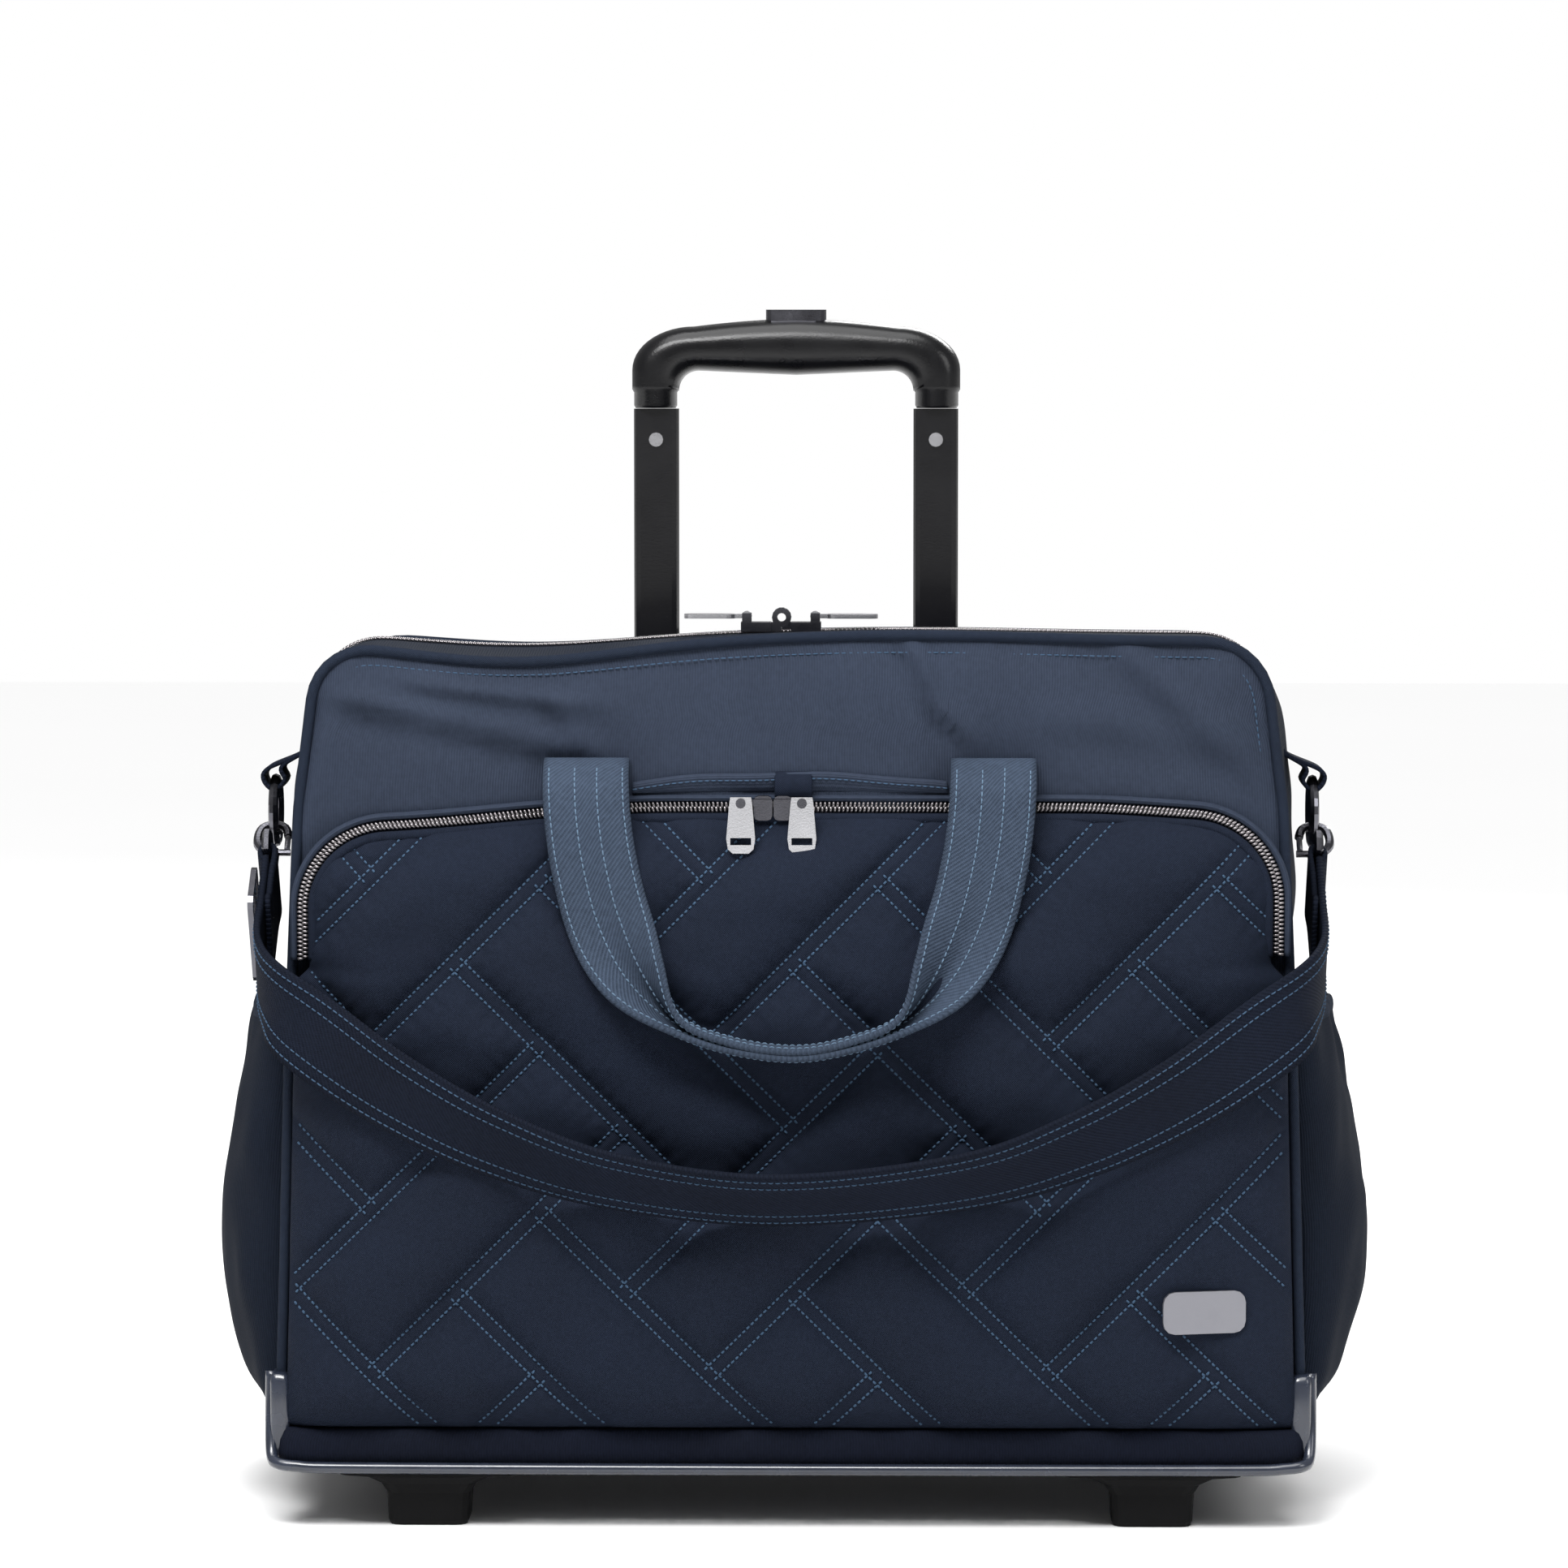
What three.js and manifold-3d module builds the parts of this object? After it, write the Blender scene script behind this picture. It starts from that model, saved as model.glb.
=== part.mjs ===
import * as THREE from 'three';
import { mergeVertices } from 'three/addons/utils/BufferGeometryUtils.js';
import Module from 'manifold-3d';

const wasm = await Module();
wasm.setup();

// Overall shell, in millimetres. X runs across the front, Y towards the back, Z up.
const GAP = 0.3;
const SHIFT_Y = 14;
const FLOOR_TO_BASE = 25;
const BASE_TOP = 42;
const SHELL_LOW = BASE_TOP + GAP;
const SHELL_TOP = 378;
const CORNER_R = 28;
const CORNER_HALF = 204;
const SIDE_TOP = SHELL_TOP - CORNER_R;
const SIDE_STEPS = [[SHELL_LOW, 218.5], [200, 214], [306, 209.5], [SIDE_TOP, CORNER_HALF]];
// The soft top falls by this much from the zip to the back edge.
const TOP_DROP = 10;
const WALL = 4;
const FRONT_OUT = -90;
const FRONT_IN = -85;
const BACK_IN = 92.3;
const BACK_OUT = 97.3;
const BASE_FRONT = -106;
const BASE_HALF = 219;

// Top opening.
const ZIP_Y = -40;
const FLAP_FRONT = -37;
const FLAP_BACK = 62.3;
const STRIP_BACK = -43;
const TEETH_HALF = 2.7;

// Front pocket.
const POCKET_HALF = 209.4;
const POCKET_TOP = 310;
const POCKET_R = 38;
const POCKET_ZIP_END = 246;
const CHAIN_WIDTH = 5.4;
const PAD_HALF = 209.9;
const PAD_FOOT_HALF = 214.5;
const PAD_LOW = 42.6;
const PAD_FRONT = -118;
const BADGE = { x: 175, y: -115.3, z: 95, w: 36, h: 18, thick: 1.6, turn: 12.8 * Math.PI / 180 };

// Webbing.
const WEB_WIDTH = 38;
const WEB_THICK = 2.6;
const HANDLE_ANCHOR_Z = 326;
const HANDLE_ANCHOR_Y = -93;
const REAR_ANCHOR_Y = 100.5;

// Shoulder strap hardware.
const RING_X = 227;
const RING_Z = 298;
const RING_R = 14;
const WIRE_R = 2.2;
const HOOK_ANGLE = 52 * Math.PI / 180;

// Telescopic handle.
const TUBE_X = 62.6;
const TUBE_Y = 78;
const TUBE_WALL = 1.2;
const UPPER_TUBE = { w: 20, d: 14, z0: 149, z1: 472.7 };
const MIDDLE_TUBE = { w: 23, d: 17, z0: 50, z1: 352 };
const OUTER_TUBE = { w: 26, d: 20, z0: 48.3, z1: 353.5 };
const GRIP = { half: 73.5, z0: 473, z1: 513, thick: 26, bar: 23.3, leg: 21, corner: 28 };
const BEZEL = { w: 180, d: 27.4, z1: 371.8 };
const BUTTON = { w: 27, d: 12, z0: 507, z1: 517 };
const RIVET_Z = 459;

// Running gear.
const WHEEL_X = 153;
const WHEEL_Y = 86;
const WHEEL_R = 25;
const WHEEL_HALF = 10.5;
const HUB_R = 17;
const AXLE_R = 3;
const RUN = 0.06;
const FOOT_X = 154.3;
const FOOT_Y = -86;

const group = new THREE.Group();

function paint(color, roughness, metalness) {
  return new THREE.MeshStandardMaterial({ color, roughness, metalness });
}

const FABRIC = paint(0x2a3144, 0.9, 0);
const QUILT = paint(0x262d40, 0.9, 0);
const WEBBING = paint(0x35405a, 0.85, 0);
const VINYL = paint(0x3b4256, 0.35, 0);
const PLASTIC = paint(0x151517, 0.5, 0);
const TUBE = paint(0x17171b, 0.25, 0.8);
const METAL = paint(0xa4a6ac, 0.25, 1);
const GUNMETAL = paint(0x4b4c52, 0.3, 1);
const RUBBER = paint(0x1c1c1e, 0.8, 0);

// Shapes.
function box(x0, x1, y0, y1, z0, z1) {
  const g = new THREE.BoxGeometry(x1 - x0, y1 - y0, z1 - z0);
  g.translate((x0 + x1) / 2, (y0 + y1) / 2, (z0 + z1) / 2);
  return g;
}

function newell(ring) {
  const n = new THREE.Vector3();
  ring.forEach((p, i) => {
    const q = ring[(i + 1) % ring.length];
    n.x += (p.y - q.y) * (p.z + q.z);
    n.y += (p.z - q.z) * (p.x + q.x);
    n.z += (p.x - q.x) * (p.y + q.y);
  });
  return n.normalize();
}

function centre(ring) {
  const c = new THREE.Vector3();
  ring.forEach((p) => c.add(p));
  return c.divideScalar(ring.length);
}

function capFaces(ring, start, wanted) {
  const n = newell(ring);
  const a = [Math.abs(n.x), Math.abs(n.y), Math.abs(n.z)];
  const drop = a.indexOf(Math.max(...a));
  const flat = ring.map((p) => {
    const v = [p.x, p.y, p.z];
    v.splice(drop, 1);
    return new THREE.Vector2(v[0], v[1]);
  });
  const faces = THREE.ShapeUtils.triangulateShape(flat, []);
  const out = [];
  const e1 = new THREE.Vector3();
  const e2 = new THREE.Vector3();
  faces.forEach(([i, j, k]) => {
    e1.subVectors(ring[j], ring[i]);
    e2.subVectors(ring[k], ring[i]);
    if (e1.cross(e2).dot(wanted) > 0) {
      out.push(start + i, start + j, start + k);
    } else {
      out.push(start + i, start + k, start + j);
    }
  });
  return out;
}

// A closed skin through matching rings. A looped skin joins its last ring to its first.
function loft(input, looped = false) {
  let rings = input;
  const way = centre(rings[1]).sub(centre(rings[0]));
  if (newell(rings[0]).dot(way) < 0) {
    rings = rings.map((ring) => [...ring].reverse());
  }
  const n = rings[0].length;
  const index = [];
  const last = looped ? rings.length : rings.length - 1;
  for (let r = 0; r < last; r += 1) {
    const next = (r + 1) % rings.length;
    for (let i = 0; i < n; i += 1) {
      const j = (i + 1) % n;
      index.push(r * n + i, r * n + j, next * n + j);
      index.push(r * n + i, next * n + j, next * n + i);
    }
  }
  if (!looped) {
    const end = rings.length - 1;
    index.push(...capFaces(rings[0], 0, newell(rings[0]).negate()));
    index.push(...capFaces(rings[end], end * n, newell(rings[end])));
  }
  const g = new THREE.BufferGeometry();
  const flat = rings.flat().flatMap((p) => [p.x, p.y, p.z]);
  g.setAttribute('position', new THREE.Float32BufferAttribute(flat, 3));
  g.setIndex(index);
  g.computeVertexNormals();
  return g;
}

const ringY = (points, y) => points.map(([x, z]) => new THREE.Vector3(x, y, z));
const ringX = (points, x) => points.map(([y, z]) => new THREE.Vector3(x, y, z));
const ringZ = (points, z) => points.map(([x, y]) => new THREE.Vector3(x, y, z));
const prismY = (points, y0, y1) => loft([ringY(points, y0), ringY(points, y1)]);
const prismX = (points, x0, x1) => loft([ringX(points, x0), ringX(points, x1)]);
const prismZ = (points, z0, z1) => loft([ringZ(points, z0), ringZ(points, z1)]);

function circle(cx, cy, r, sides = 16) {
  const points = [];
  for (let i = 0; i < sides; i += 1) {
    const a = i / sides * Math.PI * 2;
    points.push([cx + r * Math.cos(a), cy + r * Math.sin(a)]);
  }
  return points;
}

function roundedRect(cx, cy, w, h, r, steps = 3) {
  const points = [];
  [[1, 1, 0], [-1, 1, 90], [-1, -1, 180], [1, -1, 270]].forEach(([sx, sy, from]) => {
    for (let i = 0; i <= steps; i += 1) {
      const a = (from + i / steps * 90) * Math.PI / 180;
      const x = cx + sx * (w / 2 - r) + r * Math.cos(a);
      const y = cy + sy * (h / 2 - r) + r * Math.sin(a);
      points.push([x, y]);
    }
  });
  return points;
}

function mirrorX(geometry) {
  const g = geometry.clone();
  g.scale(-1, 1, 1);
  const index = Array.from(g.index.array);
  for (let i = 0; i < index.length; i += 3) {
    [index[i + 1], index[i + 2]] = [index[i + 2], index[i + 1]];
  }
  g.setIndex(index);
  g.computeVertexNormals();
  return g;
}

function toManifold(geometry) {
  const g = geometry.clone();
  g.deleteAttribute('normal');
  g.deleteAttribute('uv');
  const merged = mergeVertices(g, 1e-4);
  return new wasm.Manifold(new wasm.Mesh({
    numProp: 3,
    vertProperties: new Float32Array(merged.attributes.position.array),
    triVerts: new Uint32Array(merged.index.array),
  }));
}

function fromManifold(solid) {
  const mesh = solid.getMesh();
  const g = new THREE.BufferGeometry();
  g.setAttribute('position', new THREE.BufferAttribute(new Float32Array(mesh.vertProperties), 3));
  g.setIndex(Array.from(mesh.triVerts));
  g.computeVertexNormals();
  return g;
}

function join(...parts) {
  return fromManifold(parts.map(toManifold).reduce((a, b) => a.add(b)));
}

function cut(base, ...tools) {
  return fromManifold(tools.map(toManifold).reduce((a, b) => a.subtract(b), toManifold(base)));
}

const vec = (p) => new THREE.Vector3(...p);

// A round bar along a smooth path.
function tube(points, radius, sides = 8, steps = 16, looped = false) {
  const curve = new THREE.CatmullRomCurve3(points.map(vec), looped, 'centripetal');
  const frames = curve.computeFrenetFrames(steps, looped);
  const rings = [];
  const count = looped ? steps : steps + 1;
  for (let s = 0; s < count; s += 1) {
    const c = curve.getPointAt(s / steps);
    const ring = circle(0, 0, radius, sides).map(([a, b]) => c.clone()
      .addScaledVector(frames.normals[s], a).addScaledVector(frames.binormals[s], b));
    rings.push(ring);
  }
  return loft(rings, looped);
}

// A flat band through stations: c is the centre, w points to the band's upper edge.
function band(stations, thick, steps) {
  const path = new THREE.CatmullRomCurve3(stations.map((s) => vec(s.c)), false, 'centripetal');
  const side = new THREE.CatmullRomCurve3(stations.map((s) => vec(s.w)), false, 'centripetal');
  const last = stations.length - 1;
  const rings = [];
  for (let i = 0; i <= steps; i += 1) {
    const t = i / steps;
    const c = path.getPoint(t);
    const w = side.getPoint(t).normalize();
    const along = path.getTangent(t);
    const n = new THREE.Vector3().crossVectors(along, w).normalize();
    w.crossVectors(n, along).normalize();
    const k = Math.min(Math.floor(t * last), last - 1);
    const f = t * last - k;
    const width = stations[k].width * (1 - f) + stations[k + 1].width * f;
    const h = ((stations[k].thick || thick) * (1 - f) + (stations[k + 1].thick || thick) * f) / 2;
    rings.push([[-1, -1], [1, -1], [1, 1], [-1, 1]].map(([a, b]) => c.clone()
      .addScaledVector(w, a * width / 2).addScaledVector(n, b * h)));
  }
  return loft(rings);
}

function add(name, geometry, material) {
  const mesh = new THREE.Mesh(geometry, material);
  mesh.name = name;
  group.add(mesh);
}

function addPair(name, rightGeometry, material) {
  add(`${name}_left`, mirrorX(rightGeometry), material);
  add(`${name}_right`, rightGeometry, material);
}

// Shell outline seen from the front.
function halfWidth(z) {
  for (let i = 1; i < SIDE_STEPS.length; i += 1) {
    const [z0, w0] = SIDE_STEPS[i - 1];
    const [z1, w1] = SIDE_STEPS[i];
    if (z <= z1) {
      return w0 + (w1 - w0) * (z - z0) / (z1 - z0);
    }
  }
  return CORNER_HALF;
}

function topDrop(y) {
  return TOP_DROP * Math.max(y - FLAP_FRONT, 0) / (BACK_OUT - FLAP_FRONT);
}

function topLine(inset, low, drop = 0, steps = 4) {
  const r = CORNER_R - inset;
  const cx = CORNER_HALF - CORNER_R;
  const left = [[-(CORNER_HALF - inset), low]];
  for (let i = 1; i <= steps; i += 1) {
    const a = Math.PI - i / steps * Math.PI / 2;
    left.push([-cx + r * Math.cos(a), SIDE_TOP + (r - drop) * Math.sin(a)]);
  }
  const right = left.map(([x, z]) => [-x, z]).reverse();
  return [...left, ...right];
}

function topBand(outer, inner, y0, y1) {
  const low = SIDE_TOP + GAP * 2;
  const ring = (y) => [...topLine(outer, low, topDrop(y)), ...topLine(inner, low, topDrop(y)).reverse()];
  return loft([ringY(ring(y0), y0), ringY(ring(y1), y1)]);
}

function buildShell() {
  const low = SIDE_STEPS.map(([z, w]) => [w, z]).slice(0, -1);
  const face = (drop) => [
    ...low.map(([x, z]) => [-x, z]), ...topLine(0, SIDE_TOP, drop), ...[...low].reverse(),
  ];
  add('front_panel', prismY(face(0), FRONT_OUT, FRONT_IN), FABRIC);

  const side = [...SIDE_STEPS.map(([z, w]) => [w, z]),
    ...[...SIDE_STEPS].reverse().map(([z, w]) => [w - WALL, z])];
  addPair('side_gusset', prismY(side, FRONT_IN + GAP, BACK_IN - GAP), FABRIC);

  const wheelCut = (sx) => box(sx * WHEEL_X - 23.6, sx * WHEEL_X + 23.6, 54.6, 110, 10, 64.6);
  const slot = BEZEL.w / 2 + 0.4;
  const bezelCut = box(-slot, slot, 63.9, 92, OUTER_TUBE.z1 - 2, 390);
  const backWall = prismY(face(TOP_DROP), BACK_IN, BACK_OUT);
  const backStrip = topBand(0, WALL, FLAP_BACK + GAP, BACK_IN + 1);
  add('back_panel', cut(join(backWall, backStrip), wheelCut(1), wheelCut(-1), bezelCut), FABRIC);

  const plan = roundedRect(0, (BASE_FRONT + BACK_OUT) / 2, BASE_HALF * 2, BACK_OUT - BASE_FRONT, 12);
  add('base_panel', cut(prismZ(plan, FLOOR_TO_BASE, BASE_TOP), wheelCut(1), wheelCut(-1)), FABRIC);

  add('top_front_gusset', topBand(0, WALL, FRONT_IN + GAP, STRIP_BACK), FABRIC);
  add('top_flap', topBand(0, WALL, FLAP_FRONT, FLAP_BACK), FABRIC);
  add('main_zip_teeth_front', topBand(-0.6, 2, ZIP_Y - TEETH_HALF, ZIP_Y - 0.15), GUNMETAL);
  add('main_zip_teeth_rear', topBand(-0.6, 2, ZIP_Y + 0.15, ZIP_Y + TEETH_HALF), GUNMETAL);
}

function buildTrim() {
  const y = FRONT_OUT - 2.6;
  const proud = 1.2;
  const reach = (CORNER_R + proud) * Math.SQRT1_2;
  const right = [69, 130, 200, 306, 347].map((z) => [halfWidth(z) + proud, y, z]);
  right.push([CORNER_HALF - CORNER_R + reach, y, SIDE_TOP + reach]);
  right.push([CORNER_HALF - CORNER_R, y, SHELL_TOP + proud], [90, y, SHELL_TOP + proud]);
  const left = right.map(([a, b, c]) => [-a, b, c]);
  add('front_piping', tube([...left, [0, y, SHELL_TOP + proud], ...right.reverse()], 2.2, 6, 44), FABRIC);

  const edge = BASE_HALF + 2.6;
  const low = [[edge, -92, 65], [edge, -95, 44], [edge - 1, -101.5, 30], [edge - 4.5, -107, 27.6],
    [edge - 13, BASE_FRONT - 3, 26.8], [edge - 30, BASE_FRONT - 2.8, 26.4]];
  const mirror = low.map(([a, b, c]) => [-a, b, c]);
  const run = [...mirror, [-90, BASE_FRONT - 2.6, 26.2], [90, BASE_FRONT - 2.6, 26.2], ...low.reverse()];
  add('base_trim', tube(run, 2.2, 6, 40), VINYL);

  // The badge lies along the slope of the pad's side.
  const plate = prismY(roundedRect(0, BADGE.z, BADGE.w, BADGE.h, 5, 3), -BADGE.thick, 0);
  plate.rotateZ(BADGE.turn);
  plate.translate(BADGE.x, BADGE.y, 0);
  add('badge_plate', plate, METAL);
}

// Front pocket outline, open at the bottom, with rounded upper corners.
function pocketLine(inset, steps = 6) {
  const r = POCKET_R - inset;
  const cx = POCKET_HALF - POCKET_R;
  const cz = POCKET_TOP - POCKET_R;
  const left = [[-(POCKET_HALF - inset), POCKET_ZIP_END]];
  for (let i = 0; i <= steps; i += 1) {
    const a = Math.PI - i / steps * Math.PI / 2;
    left.push([-cx + r * Math.cos(a), cz + r * Math.sin(a)]);
  }
  return [...left, ...left.map(([x, z]) => [-x, z]).reverse()];
}

function pocketBand(inner, y0, y1) {
  return prismY([...pocketLine(0), ...pocketLine(inner).reverse()], y0, y1);
}

function padRing(inset, y) {
  const shoulder = CHAIN_WIDTH + 0.5;
  const r = Math.max(POCKET_R - shoulder - inset, 3);
  const narrow = POCKET_HALF - shoulder - inset;
  const top = POCKET_TOP - shoulder - inset;
  const wide = PAD_HALF - inset;
  const foot = PAD_FOOT_HALF - inset;
  const left = [[-foot + 5, PAD_LOW + inset * 0.5], [-foot, PAD_LOW + 5 + inset * 0.5],
    [-wide, POCKET_ZIP_END - 10], [-narrow, POCKET_ZIP_END - 2]];
  for (let i = 0; i <= 5; i += 1) {
    const a = Math.PI - i / 5 * Math.PI / 2;
    left.push([-(narrow - r) + r * Math.cos(a), top - r + r * Math.sin(a)]);
  }
  return ringY([...left, ...left.map(([x, z]) => [-x, z]).reverse()], y);
}

function buildPockets() {
  add('front_pocket_gusset', pocketBand(CHAIN_WIDTH, FRONT_OUT - GAP, -96.7), FABRIC);
  add('pocket_zip_chain', pocketBand(CHAIN_WIDTH, -97, -99), GUNMETAL);
  const crown = [[0, FRONT_OUT - GAP], [0, -97], [4, -101], [12, -107], [26, -112], [45, -115.5],
    [70, PAD_FRONT]];
  add('front_pocket_pad', loft(crown.map(([inset, y]) => padRing(inset, y))), QUILT);

  // Side slip pocket: a pouch wall that meets the gusset along its edges and is open on top.
  const levels = [[46, 4], [62, 15], [95, 28], [127, 33.5], [170, 29], [218, 18]];
  const dee = (z, depth, half, base) => {
    const points = [[base, -half], [base, half]];
    for (let i = 0; i <= 8; i += 1) {
      const a = i / 8 * Math.PI;
      points.push([base + Math.max(depth * Math.sin(a), 0) + 2.4, half * Math.cos(a)]);
    }
    return ringZ(points, z);
  };
  const outer = levels.map(([z, d]) => dee(z, d, 76, halfWidth(z) + GAP));
  const inner = levels.map(([z, d]) => dee(z, d, 73.4, halfWidth(z) - 3 + GAP));
  inner[0] = dee(49, 4, 73.4, halfWidth(49) - 3 + GAP);
  inner.push(dee(230, 18, 73.4, halfWidth(230) - 3 + GAP));
  addPair('side_pocket', cut(loft(outer), loft(inner)), FABRIC);
}

// Webbing handle: two flat straps that turn into one narrow folded grip.
function handleStations(faceY, sign, gripZ, drop, fold) {
  const y = (out) => faceY + sign * out;
  const half = [
    { c: [-87, y(0.8), HANDLE_ANCHOR_Z - 8], w: [1, 0, 0], width: WEB_WIDTH },
    { c: [-87, y(6), HANDLE_ANCHOR_Z + 1], w: [1, 0, 0], width: WEB_WIDTH },
    { c: [-86.5, y(drop - 2), HANDLE_ANCHOR_Z - 11], w: [1, 0, 0], width: WEB_WIDTH },
    { c: [-84, y(drop), 290], w: [1, 0, 0], width: WEB_WIDTH },
    { c: [-77, y(drop + 3), 262], w: [0.98, 0, 0.2], width: WEB_WIDTH },
    { c: [-65, y(drop + fold * 0.7), 236], w: [0.8, 0.2 * sign, 0.5], width: 33, thick: 3.6 },
    { c: [-48, y(drop + fold * 1.05), 217], w: [0.35, 0.8 * sign, 0.35], width: 24, thick: 5 },
    { c: [-25, y(drop + fold), gripZ + 3.5], w: [0.05, sign, 0.08], width: 20, thick: 6 },
  ];
  const mid = { c: [2, y(drop + fold), gripZ], w: [0, sign, 0], width: 19, thick: 6 };
  const other = half.map((s) => ({
    ...s,
    c: [-s.c[0], s.c[1], s.c[2]],
    w: [-s.w[0], s.w[1], s.w[2]],
  })).reverse();
  return [...half, mid, ...other];
}

function buildHandles() {
  const front = handleStations(HANDLE_ANCHOR_Y + 1.6, -1, 206, 25, 13.6);
  add('front_carry_handle', band(front, 3, 40), WEBBING);
  const rear = handleStations(REAR_ANCHOR_Y - 1.6, 1, 206, 7, 6);
  add('rear_carry_handle', band(rear, 3, 40), WEBBING);
}

// Zip sliders and pulls.
function buildSliders() {
  const tz = SHELL_TOP + 0.9;
  const main = (sx, x0, x1, eyeY) => {
    const pinX = sx * (Math.abs(sx > 0 ? x1 : x0) - 2.5);
    const eye = prismY(circle(-4.5, tz + 6, 4.2, 14), eyeY - 0.8, eyeY + 0.8);
    const hole = prismY(circle(-4.5, tz + 6, 1.9, 12), eyeY - 2, eyeY + 2);
    const body = join(
      box(x0, x1, ZIP_Y - 5.2, ZIP_Y + 5.2, tz, tz + 4),
      box(Math.min(x0, x1, -4.5), Math.max(x1, -4.5), eyeY - 0.8, eyeY + 0.8, tz, tz + 4),
      eye,
      box(pinX - 2, pinX + 2, ZIP_Y - 4.4, ZIP_Y - 2.6, tz + 3, tz + 7.8),
      box(pinX - 2, pinX + 2, ZIP_Y + 2.6, ZIP_Y + 4.4, tz + 3, tz + 7.8),
      prismY(circle(pinX, tz + 6.5, 1.1, 12), ZIP_Y - 4, ZIP_Y + 4),
    );
    return cut(body, hole);
  };
  add('main_slider_left', main(-1, -22, -9, ZIP_Y - 2), GUNMETAL);
  add('main_slider_right', main(1, -0.5, 12.5, ZIP_Y + 2), GUNMETAL);

  const mainPull = (sx, pinX) => {
    const z = tz + 6.5;
    const reach = (a, b) => [Math.min(pinX + sx * a, pinX + sx * b), Math.max(pinX + sx * a, pinX + sx * b)];
    const [n0, n1] = reach(1.6, 6);
    const [p0, p1] = reach(5, 27);
    return cut(
      join(
        prismY(circle(pinX, z, 2.2, 14), ZIP_Y - 2.2, ZIP_Y + 2.2),
        box(n0, n1, ZIP_Y - 2, ZIP_Y + 2, z - 0.9, z + 0.9),
        prismZ(roundedRect((p0 + p1) / 2, ZIP_Y, p1 - p0, 11, 3.5, 3), z - 0.9, z + 0.9),
      ),
      prismY(circle(pinX, z, 1.1 + RUN, 12), ZIP_Y - 4, ZIP_Y + 4),
    );
  };
  add('main_pull_left', mainPull(-1, -19.5), METAL);
  add('main_pull_right', mainPull(1, 10), METAL);

  const zc = POCKET_TOP - CHAIN_WIDTH / 2;
  const pocket = (x0, x1, pinX) => {
    const a = Math.min(x0, pinX - 1.6);
    const b = Math.max(x1, pinX + 1.6);
    return join(
      prismY(roundedRect((x0 + x1) / 2, zc, x1 - x0, 10.4, 2, 2), -99.3, -104),
      box(a, b, -105.4, -103, zc + 1.2, zc + 3.8),
      prismY(circle(pinX, zc + 2.5, 1.1, 12), -104, -111.2),
      prismY(circle(pinX, zc + 2.5, 2.1, 12), -110.4, -111.4),
    );
  };
  add('pocket_slider_left', pocket(-15.2, -7.4, -20.6), GUNMETAL);
  add('pocket_slider_right', pocket(-6.8, 1, 5.2), GUNMETAL);

  const pocketPull = (pinX) => {
    const z = zc + 2.5;
    const plate = [[-4.4, 2.6], [4.4, 2.6], [4.8, 0], [6.1, -15], [5.4, -19.4], [3.4, -21.2], [-3.4, -21.2],
      [-5.4, -19.4], [-6.1, -15], [-4.8, 0]].map(([x, dz]) => [pinX + x, z + dz]);
    return cut(
      prismY(plate, -108.3, -110.1),
      prismY(circle(pinX, z, 1.1 + RUN, 12), -107, -112),
      box(pinX - 4.4, pinX + 4.4, -112, -107, z - 17.6, z - 14.6),
    );
  };
  add('pocket_pull_left', pocketPull(-20.6), METAL);
  add('pocket_pull_right', pocketPull(5.2), METAL);
}

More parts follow.
